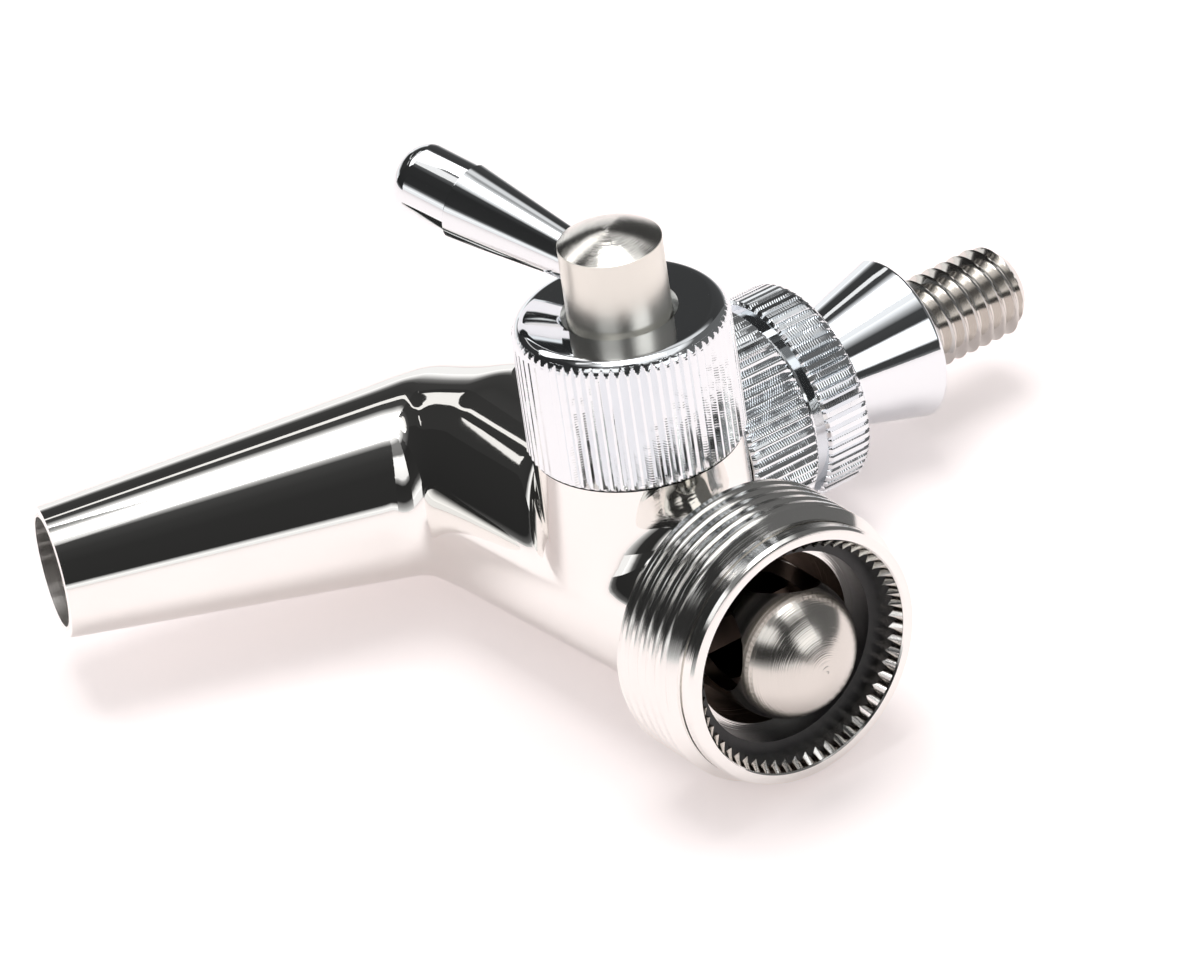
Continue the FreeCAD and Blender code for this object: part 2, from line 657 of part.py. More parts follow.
def flat_washer(name, hole, rim, thickness, height):
    ring = turned(name, [(hole, "0"), (rim, "0"), (rim, thickness), (hole, thickness)])
    ring.Placement = along_stem(height)
    return ring


def flow_bonnet():
    thread = "side_nipple_radius + thread_gap"
    inner_top = f"{FLANGE_HIGH} + friction_thickness"
    body = turned("flow_bonnet", [
        (thread, "flow_bonnet_start"),
        ("flow_bonnet_radius - flow_bonnet_rim_bevel", "flow_bonnet_start"),
        ("flow_bonnet_radius", "flow_bonnet_start + flow_bonnet_rim_bevel"),
        ("flow_bonnet_radius", "flow_bonnet_shoulder"),
        ("flow_bonnet_top_radius", "flow_bonnet_end"),
        ("flow_hole_mouth", "flow_bonnet_end"),
        ("stem_outer_radius + running_gap", "flow_bonnet_end - flow_hole_bevel"),
        ("stem_outer_radius + running_gap", inner_top),
        ("flange_radius", inner_top),
        ("flange_radius", "side_nipple_end + thread_gap"),
        (thread, "side_nipple_end + thread_gap"),
    ], {3: "flow_bonnet_end - flow_bonnet_shoulder + 0.2"})
    body.Placement = along_stem()
    return body


def flow_lever():
    plain = "lever_end_radius - lever_nose_radius"
    body = turned("flow_lever", [
        ("0", "lever_root_start"),
        ("lever_root_radius", "lever_root_start"),
        ("lever_root_radius", "lever_root_end"),
        ("lever_wide_radius", "lever_wide_end"),
        ("lever_end_radius", "lever_wide_end + lever_step"),
        ("lever_end_radius", "lever_length - lever_nose_radius"),
        (plain, "lever_length"),
        ("0", "lever_length"),
    ], {5: "lever_nose_radius"})
    body.Placement = along_lever()
    return body


# Handle lever, its bearings, bonnet and collar

BALL_SEAT = "(ball_radius + ball_seat_gap)"


def handle_lever():
    body = turned("handle_lever", [
        ("0", "-pivot_height - arm_tip_radius"),
        ("arm_thin_radius", "-pivot_height + sqrt(arm_tip_radius ^ 2 - arm_thin_radius ^ 2)"),
        ("arm_slot_radius", "-pivot_height + arm_thin_length"),
        ("arm_radius", "-pivot_height + arm_taper_end"),
        ("arm_radius", "-sqrt(ball_radius ^ 2 - arm_radius ^ 2)"),
        ("ball_radius", "0"),
        ("lever_neck_radius", "sqrt(ball_radius ^ 2 - lever_neck_radius ^ 2)"),
        ("lever_neck_radius", "collar_end + stud_relief - pivot_height"),
        ("stud_radius", "collar_end + stud_relief - pivot_height"),
        ("stud_radius", "stud_end - pivot_height - stud_bevel"),
        ("stud_radius - stud_bevel", "stud_end - pivot_height"),
        ("0", "stud_end - pivot_height"),
    ], {0: "arm_tip_radius", 4: "ball_radius", 5: "ball_radius"})
    body.Placement = along_handle("pivot_height")
    return body


def lower_cup():
    rim = f"sqrt({BALL_SEAT} ^ 2 - (pivot_height - socket_floor - cup_height) ^ 2)"
    body = turned("lower_cup", [
        ("cup_hole_radius", "socket_floor - pivot_height"),
        ("socket_radius - thread_gap", "socket_floor - pivot_height"),
        ("socket_radius - thread_gap", "socket_floor - pivot_height + cup_height"),
        (rim, "socket_floor - pivot_height + cup_height"),
        ("cup_hole_radius", f"-sqrt({BALL_SEAT} ^ 2 - cup_hole_radius ^ 2)"),
    ], {3: f"-{BALL_SEAT}"})
    body.Placement = along_handle("pivot_height")
    return body


def friction_ring():
    ring_top = "socket_top + thread_gap - bonnet_washer_thickness - pivot_height"
    body = turned("friction_ring", [
        (f"sqrt({BALL_SEAT} ^ 2 - ring_rise ^ 2)", "ring_rise"),
        ("socket_radius - thread_gap", "ring_rise"),
        ("socket_radius - thread_gap", ring_top),
        (f"sqrt({BALL_SEAT} ^ 2 - ({ring_top}) ^ 2)", ring_top),
    ], {3: f"-{BALL_SEAT}"})
    body.Placement = along_handle("pivot_height")
    return body


def bonnet_washer():
    ring = turned("bonnet_washer", [
        ("bonnet_washer_hole", "-bonnet_washer_thickness"),
        ("socket_radius - thread_gap", "-bonnet_washer_thickness"),
        ("socket_radius - thread_gap", "0"),
        ("bonnet_washer_hole", "0"),
    ])
    ring.Placement = along_handle("socket_top + thread_gap")
    return ring


def ball_ring():
    ring = o_ring("ball_o_ring", "(ball_radius + socket_radius) / 2",
                  "(socket_radius - ball_radius) / 2 - seated_gap")
    ring.Placement = along_handle("pivot_height")
    return ring


def handle_bonnet():
    thread = "top_nipple_radius + thread_gap"
    body = turned("handle_bonnet", [
        (thread, "handle_bonnet_start"),
        ("handle_bonnet_radius", "handle_bonnet_start"),
        ("handle_bonnet_radius", "lower_band_end"),
        ("band_groove_radius", "lower_band_end"),
        ("band_groove_radius", "upper_band_start"),
        ("handle_bonnet_radius", "upper_band_start"),
        ("handle_bonnet_radius", "upper_band_end"),
        ("handle_mouth_radius + 0.1", "handle_bonnet_end"),
        ("handle_mouth_radius", "handle_bonnet_end"),
        ("handle_mouth_throat", "handle_bonnet_end - handle_mouth_depth"),
        ("handle_mouth_throat", "socket_top + thread_gap"),
        (thread, "socket_top + thread_gap"),
    ], {6: "handle_bonnet_radius - handle_mouth_radius"})
    body.Placement = along_handle()
    return body


def handle_collar():
    body = turned("handle_collar", [
        ("lever_neck_radius + thread_gap", "collar_start"),
        ("collar_narrow_radius", "collar_start"),
        ("collar_wide_radius", "collar_end - collar_rim"),
        ("collar_wide_radius - collar_rim", "collar_end"),
        ("lever_neck_radius + thread_gap", "collar_end"),
    ], {2: "collar_rim"})
    body.Placement = along_handle()
    return body


# Valve shaft and its seal

def valve_shaft():
    body = turned("valve_shaft", [
        ("0", "-shaft_start"),
        ("0", "-seal_groove_end - nose_flange - nose_length"),
        ("nose_tip_radius", "-seal_groove_end - nose_flange - nose_length"),
        ("nose_radius", "-seal_groove_end - nose_flange"),
        ("nose_radius", "-seal_groove_end"),
        ("seal_radius - seal_section - running_gap", "-seal_groove_end"),
        ("seal_radius - seal_section - running_gap", "-seal_groove_start"),
        ("head_radius", "-seal_groove_start"),
        ("head_radius", "-head_start"),
        ("shaft_hub_radius", "-fin_end"),
        ("shaft_hub_radius", "-shaft_start"),
    ])
    face = new_sketch(body, "fin_outline", "XY_Plane", "-fin_end")
    fin_reach = "sqrt(fin_radius ^ 2 - (fin_thickness / 2) ^ 2)"
    outline(face, [
        ("shaft_hub_radius / 2", "-fin_thickness / 2"),
        (fin_reach, "-fin_thickness / 2"),
        (fin_reach, "fin_thickness / 2"),
        ("shaft_hub_radius / 2", "fin_thickness / 2"),
    ])
    fin = body.newObject("PartDesign::Pad", "fin")
    fin.Profile = face
    bind(fin, Length="fin_end - shaft_start")
    doc.recompute()
    fins = body.newObject("PartDesign::PolarPattern", "fins")
    fins.Originals = [fin]
    fins.Axis = (face, ["N_Axis"])
    fins.Angle = FULL_TURN
    fins.Occurrences = FIN_COUNT
    body.Tip = fins
    doc.recompute()
    slot_face = new_sketch(body, "tip_slot_outline", "YZ_Plane")
    half = "(arm_tip_radius + tip_slot_clearance)"
    top = "-fin_radius - 1"
    outline(slot_face, [
        ("tip_slot_floor", f"-handle_from_face - {half}"),
        ("tip_slot_floor", f"-handle_from_face + {half}"),
        (top, f"-handle_from_face + {half}"),
        (top, f"-handle_from_face - {half} - (fin_radius + 1 - tip_slot_height) * tan(tip_slot_flare)"),
        ("-tip_slot_height", f"-handle_from_face - {half}"),
    ])
    slot = body.newObject("PartDesign::Pocket", "tip_slot")
    slot.Profile = slot_face
    slot.SideType = "Symmetric"
    bind(slot, Length=f"2 * {half}")
    body.Tip = slot
    doc.recompute()
    body.Placement = along_bore()
    return body


def shaft_seal():
    """the front O-ring, one running gap short of the conical seat"""
    reach = "(seal_section + running_gap) * sqrt(2)"
    ring = o_ring("shaft_seal", "seal_radius", "seal_section")
    ring.Placement = along_bore(f"seat_from_face + valve_bore_radius - seal_radius - {reach}")
    return ring


# The assembly

SUB_PARTS = {
    "faucet_body": faucet_body(),
    "coupling_washer": coupling_washer(),
    "flow_plug": flow_plug(),
    "flow_stem": flow_stem(),
    "crank_pin": crank_pin(),
    "stem_o_ring_inner": stem_ring("stem_o_ring_inner", "inner_ring_place"),
    "stem_o_ring_outer": stem_ring("stem_o_ring_outer", "outer_ring_place"),
    "flow_thrust_washer": flat_washer("flow_thrust_washer", "stem_radius + thread_gap", "flange_radius",
                                      "thrust_thickness", "pocket_floor"),
    "flow_friction_washer": flat_washer("flow_friction_washer", "stem_outer_radius + thread_gap",
                                        "flange_radius", "friction_thickness", FLANGE_HIGH),
    "flow_bonnet": flow_bonnet(),
    "flow_lever": flow_lever(),
    "handle_lever": handle_lever(),
    "lower_cup": lower_cup(),
    "friction_ring": friction_ring(),
    "bonnet_washer": bonnet_washer(),
    "ball_o_ring": ball_ring(),
    "handle_bonnet": handle_bonnet(),
    "handle_collar": handle_collar(),
    "valve_shaft": valve_shaft(),
    "shaft_seal": shaft_seal(),
}

doc.recompute()
for obj in doc.Objects:
    if "Invalid" in obj.State or "Error" in obj.State:
        raise RuntimeError(f"{obj.Name} failed: {obj.State}")

os.makedirs("parts", exist_ok=True)
for node, obj in SUB_PARTS.items():
    obj.Label = node
    shape = obj.Shape
    if shape.isNull() or not shape.isValid() or not shape.Solids:
        raise RuntimeError(f"{node} is not a valid solid")
    shape.exportStep(f"parts/{node}.step")
    box = shape.BoundBox
    print(f"{node:22s} solids {len(shape.Solids)} volume {shape.Volume:9.2f}  "
          f"x {box.XMin:7.2f} {box.XMax:7.2f}  y {box.YMin:7.2f} {box.YMax:7.2f}  z {box.ZMin:7.2f} {box.ZMax:7.2f}")
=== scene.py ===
# A flow-control beer faucet: threads, knurls, splines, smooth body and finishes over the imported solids.
import itertools
import json
import math

import bmesh
import bpy
import numpy as np
from mathutils import Matrix, Vector

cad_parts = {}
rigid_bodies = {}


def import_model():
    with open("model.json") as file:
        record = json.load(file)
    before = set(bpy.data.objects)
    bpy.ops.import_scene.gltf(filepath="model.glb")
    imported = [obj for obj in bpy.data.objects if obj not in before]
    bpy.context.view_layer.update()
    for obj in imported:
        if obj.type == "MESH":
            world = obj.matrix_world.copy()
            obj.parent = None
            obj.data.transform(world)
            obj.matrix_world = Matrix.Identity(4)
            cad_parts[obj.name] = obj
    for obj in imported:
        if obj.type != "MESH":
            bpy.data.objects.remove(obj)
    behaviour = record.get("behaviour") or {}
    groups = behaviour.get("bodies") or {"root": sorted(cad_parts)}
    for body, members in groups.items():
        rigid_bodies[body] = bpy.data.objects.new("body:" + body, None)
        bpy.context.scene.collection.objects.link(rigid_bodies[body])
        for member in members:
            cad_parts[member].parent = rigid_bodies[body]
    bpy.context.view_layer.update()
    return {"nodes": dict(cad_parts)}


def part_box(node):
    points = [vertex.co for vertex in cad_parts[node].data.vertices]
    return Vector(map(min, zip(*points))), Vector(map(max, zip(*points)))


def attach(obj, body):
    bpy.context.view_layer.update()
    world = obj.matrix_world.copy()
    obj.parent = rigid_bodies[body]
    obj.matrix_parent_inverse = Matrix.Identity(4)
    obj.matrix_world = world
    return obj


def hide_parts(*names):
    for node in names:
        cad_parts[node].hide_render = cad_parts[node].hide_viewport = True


for leftover in list(bpy.data.objects):
    bpy.data.objects.remove(leftover)
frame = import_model()

# Lengths below are in millimetres and angles in degrees; meshes are made in metres.
MM, MICRON = 0.001, 0.000001
FULL_TURN = 2 * math.pi

# Tolerances: of the forms' arithmetic and the sewing in millimetres, then of meshes in metres
TINY, LEAST_FILLET, POLE_RADIUS, SEWING_GAP = 1e-12, 1e-9, 1e-6, 0.002
LEAST_LENGTH, FLAT_EDGE, SEAM_GAP = 1e-9, 1e-8, 1e-6

# Camera: where it stands, where it looks, its roll, and its lens and film
CAMERA_PLACE = Vector((539.690, 717.953, -464.495))
CAMERA_LOOKS = Vector((-0.5172646, -0.7275416, 0.4506889))
CAMERA_UP = Vector((0.8465956, -0.3578540, 0.3939753))
CAMERA_LENS, FILM_WIDTH = 317.971, 36

# Floor: its upward direction, its distance from the centre of the coupling's face, half its side in
# metres, its paper, and its glow: on the object, before the camera, and the camera's share in mirrors
FLOOR_UP = Vector((0.99740, 0.05386, -0.04788))
FLOOR_DROP, FLOOR_REACH = 14.9, 1.6
PAPER, PAPER_FIBRE = (0.975, 0.90, 0.895, 1), (0.965, 0.89, 0.885, 1)
PAPER_GLOW, PAPER_SEEN_GLOW = (0.14, 0.132, 0.131, 1), (0.30, 0.282, 0.280, 1)
GLOW_IN_MIRRORS = 0.3

# Sizes that the solids have too; "from face" counts from the coupling's rear face to the front
SHOULDER_RADIUS, SHOULDER_FROM_FACE, BARREL_TAPER = 11.9, 47.5, 2.7
ELBOW_RADIUS, ELBOW_FROM_FACE, ELBOW_DROP = 10.3, 55.1, 3.3
SPOUT_LEAN, SPOUT_LENGTH, SPOUT_TIP_RADIUS = 18.8, 40.6, 6.72
SPOUT_BORE_RADIUS, SPOUT_THROAT_RADIUS = 5.6, 6.4
CREASE_FILLET, BRANCH_FILLET = 2.2, 2.6
GUIDE_RADIUS, GUIDE_END = 7.15, 17.6
VALVE_BORE_RADIUS, SEAT_FROM_FACE, SEAT_LENGTH = 7.6, 48.6, 2.0
SEAT_BORE_RADIUS, SEAT_BORE_END = 5.6, 54
BARREL_REAR = 11.6
STEM_FROM_FACE, BOSS_RADIUS, BOSS_END, SIDE_NIPPLE_END = 23.9, 10.35, 15.0, 24.0
STEM_BORE_RADIUS, POCKET_FLOOR, POCKET_RADIUS = 6.05, 19.8, 8.0
HANDLE_FROM_FACE, NECK_RADIUS, NECK_TOP, SOCKET_TOP = 40.7, 10.0, 16.7, 26.0
ARM_HOLE_RADIUS, SOCKET_FLOOR, SOCKET_RADIUS = 7.4, 15.6, 8.15
NIPPLE_RADIUS, NIPPLE_START = 9.1, 10.8
THREAD_GAP, BONNET_THREAD_HOLE, RIM_BEVEL = 0.1, 9.2, 0.35


def frame_along(origin, axis, across):
    """a place whose local Z is the axis and whose local X is the way across"""
    axis, across = Vector(axis).normalized(), Vector(across).normalized()
    turn = Matrix((across, axis.cross(across), axis)).transposed().to_4x4()
    return Matrix.Translation(Vector(origin)) @ turn


# Frames along the bore, the flow stem, the handle and the spout
LEAN = math.radians(SPOUT_LEAN)
SPOUT_WAY = Vector((0, -math.sin(LEAN), -math.cos(LEAN)))
ELBOW = Vector((0, -ELBOW_FROM_FACE, -ELBOW_DROP))
SHOULDER = Vector((0, -SHOULDER_FROM_FACE, 0))
ALONG_BORE = frame_along((0, 0, 0), (0, 1, 0), (1, 0, 0))
ALONG_STEM = frame_along((0, -STEM_FROM_FACE, 0), (1, 0, 0), (0, 1, 0))
ALONG_HANDLE = frame_along((0, -HANDLE_FROM_FACE, 0), (0, 0, 1), (1, 0, 0))
ALONG_SPOUT = frame_along(ELBOW, SPOUT_WAY, (1, 0, 0))


# Node trees: arithmetic on sockets, and one method for every other node

class Value:
    """An output socket; ordinary arithmetic on it adds Math nodes to its tree."""

    def __init__(self, bench, socket):
        self.bench = bench
        self.socket = socket

    def maths(self, operation, *others, clamp=False):
        settings = {"operation": operation, "use_clamp": clamp}
        return self.bench.node("ShaderNodeMath", settings, dict(enumerate((self, *others))))

    def __add__(self, other):
        return self.maths("ADD", other)

    def __sub__(self, other):
        return self.maths("SUBTRACT", other)

    def __mul__(self, other):
        return self.maths("MULTIPLY", other)

    def __truediv__(self, other):
        return self.maths("DIVIDE", other)

    def __rsub__(self, other):
        return self.maths("MULTIPLY", -1) + other

    def __rtruediv__(self, other):
        return self.maths("POWER", -1) * other

    __radd__ = __add__
    __rmul__ = __mul__

    def limited(self):
        """kept from 0 to 1"""
        return self.maths("ADD", 0, clamp=True)


class Bench:
    """A node tree under construction."""

    def __init__(self, tree):
        self.tree = tree

    def node(self, kind, settings=None, inputs=None, output=0):
        """a node of a kind with its settings made first, then its sockets' values and links"""
        made = self.tree.nodes.new(kind)
        for name, value in (settings or {}).items():
            if name == "stops":
                self.set_stops(made.color_ramp, value)
            else:
                setattr(made, name, value)
        for key, value in (inputs or {}).items():
            if isinstance(value, Value):
                self.tree.links.new(value.socket, made.inputs[key])
            else:
                made.inputs[key].default_value = value
        if not made.outputs:
            return made
        return Value(self, made.outputs[output])

    @staticmethod
    def set_stops(ramp, stops):
        while len(ramp.elements) < len(stops):
            ramp.elements.new(1)
        for element, (place, colour) in zip(ramp.elements, stops):
            element.position = place
            element.color = colour

    def xyz(self, vector):
        """the three numbers of a vector socket"""
        first = self.node("ShaderNodeSeparateXYZ", inputs={0: vector})
        return [Value(self, output) for output in first.socket.node.outputs]


def own_place(bench):
    """where a point is, in its piece's own coordinates"""
    return bench.node("ShaderNodeTexCoord", output=3)


def vector_maths(bench, operation, first, second, output=0):
    return bench.node("ShaderNodeVectorMath", {"operation": operation}, {0: first, 1: second}, output)


def tooth(phase, root_share, crest_share):
    """0 at the root of a tooth and 1 at its crest; whole numbers of phase are the crests"""
    from_root = (phase.maths("FRACT") * 2 - 1).maths("ABSOLUTE")
    return ((from_root - root_share) / (1 - crest_share - root_share)).limited()


# Geometry Nodes: teeth that are cut along a turned blank, and a thread on a tube

def new_tree(name, sizes):
    """an empty tree with a geometry input, named sizes and a material"""
    tree = bpy.data.node_groups.new(name, "GeometryNodeTree")
    tree.interface.new_socket("Blank", in_out="INPUT", socket_type="NodeSocketGeometry")
    for label, kind in sizes.items():
        tree.interface.new_socket(label, in_out="INPUT", socket_type=kind)
    tree.interface.new_socket("Finish", in_out="INPUT", socket_type="NodeSocketMaterial")
    tree.interface.new_socket("Piece", in_out="OUTPUT", socket_type="NodeSocketGeometry")
    bench = Bench(tree)
    entry = tree.nodes.new("NodeGroupInput")
    inputs = {socket.name: Value(bench, socket) for socket in entry.outputs if socket.name}
    return bench, inputs


def end_tree(bench, geometry, inputs):
    whole = bench.node("GeometryNodeRealizeInstances", inputs={0: geometry})
    painted = bench.node("GeometryNodeSetMaterial", inputs={
        "Geometry": whole, "Material": inputs["Finish"],
    })
    bench.node("NodeGroupOutput", inputs={0: painted})
    return bench.tree


def teeth_tree(name, inward):
    """Teeth along the blank's Z axis: outward ones lower the blank to their form, inward ones widen it."""
    bench, size = new_tree(name, {
        "Teeth": "NodeSocketInt", "Crest radius": "NodeSocketFloat", "Root radius": "NodeSocketFloat",
        "Root share": "NodeSocketFloat", "Crest share": "NodeSocketFloat",
        "Lowest": "NodeSocketFloat", "Highest": "NodeSocketFloat", "Least radius": "NodeSocketFloat",
    })
    x, y, z = bench.xyz(bench.node("GeometryNodeInputPosition"))
    radius = (x * x + y * y).maths("SQRT")
    phase = y.maths("ARCTAN2", x) * size["Teeth"] / FULL_TURN
    height = tooth(phase, size["Root share"], size["Crest share"])
    form = size["Root radius"] + (size["Crest radius"] - size["Root radius"]) * height
    formed = radius.maths("MAXIMUM" if inward else "MINIMUM", form)
    in_reach = z.maths("GREATER_THAN", size["Lowest"]) * z.maths("LESS_THAN", size["Highest"])
    in_reach = in_reach * radius.maths("GREATER_THAN", size["Least radius"])
    scale = formed / radius.maths("MAXIMUM", LEAST_LENGTH)
    place = bench.node("ShaderNodeCombineXYZ", inputs={0: x * scale, 1: y * scale, 2: z})
    cut = bench.node("GeometryNodeSetPosition", inputs={
        "Geometry": size["Blank"], "Selection": in_reach, "Position": place,
    })
    return end_tree(bench, cut, size)


def thread_tree():
    """A right-hand thread on a tube between two heights, run in and out at its ends by cones."""
    bench, size = new_tree("screw_thread", {
        "Columns": "NodeSocketInt", "Rows": "NodeSocketInt", "Rows in a turn": "NodeSocketInt",
        "Pitch": "NodeSocketFloat", "Crest radius": "NodeSocketFloat", "Root radius": "NodeSocketFloat",
        "Root share": "NodeSocketFloat", "Crest share": "NodeSocketFloat",
        "Lowest": "NodeSocketFloat", "Highest": "NodeSocketFloat",
        "Low radius": "NodeSocketFloat", "Low slope": "NodeSocketFloat",
        "High radius": "NodeSocketFloat", "High slope": "NodeSocketFloat",
    })
    sheet = bench.node("GeometryNodeMeshGrid", inputs={
        "Size X": 1.0, "Size Y": size["Rows"] - 1, "Vertices X": size["Columns"] + 1,
        "Vertices Y": size["Rows"],
    })
    x, y, z = bench.xyz(bench.node("GeometryNodeInputPosition"))
    turn = x + 0.5
    row = (y + (size["Rows"] - 1) / 2).maths("ROUND") / size["Rows in a turn"]
    free = size["Lowest"] + size["Pitch"] * (row - 1 + turn)
    height = free.maths("MAXIMUM", size["Lowest"]).maths("MINIMUM", size["Highest"])
    crest = tooth(row, size["Root share"], size["Crest share"])
    form = size["Root radius"] + (size["Crest radius"] - size["Root radius"]) * crest
    run_in = size["Low radius"] + (height - size["Lowest"]) * size["Low slope"]
    run_out = size["High radius"] + (size["Highest"] - height) * size["High slope"]
    radius = form.maths("MINIMUM", run_in).maths("MINIMUM", run_out)
    angle = turn * FULL_TURN
    place = bench.node("ShaderNodeCombineXYZ", inputs={
        0: radius * angle.maths("COSINE"), 1: radius * angle.maths("SINE"), 2: height,
    })
    tube = bench.node("GeometryNodeSetPosition", inputs={"Geometry": sheet, "Position": place})
    joined = bench.node("GeometryNodeMergeByDistance", inputs={"Geometry": tube, "Distance": SEAM_GAP})
    return end_tree(bench, joined, size)


def added(name, data):
    """a new object in the scene"""
    made = bpy.data.objects.new(name, data)
    bpy.context.scene.collection.objects.link(made)
    return made


def with_modifiers(made):
    """a plain mesh of an object as its modifiers leave it"""
    graph = bpy.context.evaluated_depsgraph_get()
    return bpy.data.meshes.new_from_object(made.evaluated_get(graph))


def worked(tree, blank_mesh, sizes, material):
    """the plain mesh that a tree makes of a blank"""
    blank = added("blank", blank_mesh)
    modifier = blank.modifiers.new("work", "NODES")
    modifier.node_group = tree
    named = {item.name: item.identifier for item in tree.interface.items_tree
             if item.in_out == "INPUT"}
    for label, amount in sizes.items():
        modifier[named[label]] = amount
    modifier[named["Finish"]] = material
    result = with_modifiers(blank)
    blank.modifiers.remove(modifier)
    bpy.data.objects.remove(blank)
    return result


# Meshes

def mesh_of(name, vertices, faces):
    mesh = bpy.data.meshes.new(name)
    mesh.from_pydata(vertices, [], faces)
    return mesh


def mesh_from(name, work):
    """the mesh of a bmesh, which isn't needed any more"""
    mesh = bpy.data.meshes.new(name)
    work.to_mesh(mesh)
    work.free()
    return mesh


def in_metres(place):
    """a place for a mesh in metres"""
    scaled = place.copy()
    scaled.translation = place.translation * MM
    return scaled


def profile_arc(centre, radius, first, last, steps):
    """points (radius, height) of an arc, angles in degrees from the radius direction"""
    angles = np.radians(np.linspace(first, last, steps + 1))
    return [(centre[0] + radius * math.cos(a), centre[1] + radius * math.sin(a)) for a in angles]


def turned_mesh(name, outline, columns, closed=False):
    """A turned solid about Z. The outline is (radius, height), a closed ring or from pole to pole."""
    angles = np.arange(columns) * FULL_TURN / columns
    vertices, rings = [], []
    for radius, height in outline:
        first = len(vertices)
        if radius < POLE_RADIUS:
            vertices.append((0, 0, height * MM))
            rings.append([first] * columns)
        else:
            vertices += [(radius * math.cos(a) * MM, radius * math.sin(a) * MM, height * MM)
                         for a in angles]
            rings.append(list(range(first, first + columns)))
    if closed:
        rings.append(rings[0])
    faces = []
    for low, high in zip(rings, rings[1:]):
        for k in range(columns):
            n = (k + 1) % columns
            corners = list(dict.fromkeys((low[k], low[n], high[n], high[k])))
            if len(corners) > 2:
                faces.append(corners)
    return mesh_of(name, vertices, faces)


def rows_between(start, end, count):
    """count outline points after start, up to end"""
    start, way = np.array(start), np.array(end) - np.array(start)
    return [tuple(start + way * k / count) for k in range(1, count + 1)]


def sewn(name, meshes):
    """several open meshes joined where their edges meet, facing outward"""
    work = bmesh.new()
    for mesh in meshes:
        work.from_mesh(mesh)
    bmesh.ops.remove_doubles(work, verts=work.verts, dist=SEWING_GAP * MM)
    bmesh.ops.dissolve_degenerate(work, edges=work.edges, dist=FLAT_EDGE)
    bmesh.ops.recalc_face_normals(work, faces=work.faces)
    return mesh_from(name, work)


def piece(name, mesh, place, body, material, sharp=35, replaces=()):
    """a finished piece: its mesh in its place, its edges, its finish and the body that carries it"""
    mesh.name = name
    mesh.transform(in_metres(place))
    mesh.materials.clear()
    mesh.materials.append(material)
    mesh.polygons.foreach_set("material_index", [0] * len(mesh.polygons))
    mesh.polygons.foreach_set("use_smooth", [True] * len(mesh.polygons))
    mesh.set_sharp_from_angle(angle=math.radians(sharp))
    made = added(name, mesh)
    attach(made, body)
    if replaces:
        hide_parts(*replaces)
    return made


# Finishes

# Noise, in features per metre
CLOUDS, GRAIN, STREAKS, STREAK_STRETCH = 140, 9000, 2600, (1, 0.25, 1)
# Depth of the fine relief, and pitch of tool rings and ripples, in metres
HAIRLINE_DEPTH, SATIN_DEPTH, RIPPLE_DEPTH = 0.6 * MICRON, 2 * MICRON, 4.5 * MICRON
COUPLING_MARK_DEPTH, PLUG_MARK_DEPTH, SOFT_DEPTH = 10 * MICRON, 16 * MICRON, 10 * MICRON
STEM_RING_PITCH, COUPLING_RING_PITCH = 90 * MICRON, 120 * MICRON
BORE_RING_PITCH, RIPPLE_PITCH = 200 * MICRON, 280 * MICRON
# Where a finish or its painted shade changes on its piece, and the knurl
WASHER_FLOOR, CHAMBER_SHADE_RADIUS, STEM_RIM = 5.35, 10.5, 36.9
PLUG_RADIUS, DOME_FROM_FACE, TOOL_MARK_RADIUS = 7.1, 3.4, 1.5
KNURL_TEETH, KNURL_DEPTH = 66, 0.42
# How far past the real edge a finish may change
BORE_MARGIN, KNURL_MARGIN, RIM_MARGIN, PORT_MARGIN = 0.3, 0.06, 0.03, 0.1


def new_material(name):
    material = bpy.data.materials.new(name)
    material.use_nodes = True
    material.node_tree.nodes.clear()
    return material, Bench(material.node_tree)


def end_material(bench, shader):
    bench.node("ShaderNodeOutputMaterial", inputs={"Surface": shader})


def finished(material, bench, colour, roughness, height, depth, metallic=1.0):
    """the material, with its colour, roughness and fine relief"""
    relief = bench.node("ShaderNodeBump", inputs={"Height": height, "Distance": depth, "Strength": 1.0})
    end_material(bench, bench.node("ShaderNodeBsdfPrincipled", inputs={
        "Base Color": colour, "Metallic": metallic, "Roughness": roughness, "Normal": relief,
    }))
    return material


def mixed(bench, share, first, second):
    """two colours mixed"""
    colours = {"Factor": share, 6: first, 7: second}
    return bench.node("ShaderNodeMix", {"data_type": "RGBA"}, colours, output=2)


def speckle(bench, place, scale, detail=3.0, stretch=(1, 1, 1)):
    """fine noise from 0 to 1"""
    stretched = bench.node("ShaderNodeMapping", inputs={"Vector": place, "Scale": stretch})
    return bench.node("ShaderNodeTexNoise", inputs={"Vector": stretched, "Scale": scale, "Detail": detail})


def polish(bench, place):
    """soft clouds, hairlines, and the haze that both make"""
    cloud = speckle(bench, place, CLOUDS)
    hair = speckle(bench, place, STREAKS, 2.0, STREAK_STRETCH)
    return cloud, hair, cloud * 0.6 + hair * 0.4


def round_axis(bench, place, frame_in):
    """height along a frame's Z axis and distance from it, in metres"""
    local = vector_maths(bench, "SUBTRACT", place, frame_in.translation * MM)
    along = vector_maths(bench, "DOT_PRODUCT", local, frame_in.to_3x3().col[2], 1)
    squared = vector_maths(bench, "DOT_PRODUCT", local, local, 1)
    return along, (squared - along * along).maths("MAXIMUM", 0).maths("SQRT")


def tool_rings(bench, length, pitch):
    """uneven rings of a turning tool, from 0 to 1 along a length"""
    return bench.node("ShaderNodeTexNoise", {"noise_dimensions": "1D"}, {
        "W": length, "Scale": 1 / pitch, "Detail": 2.0,
    })


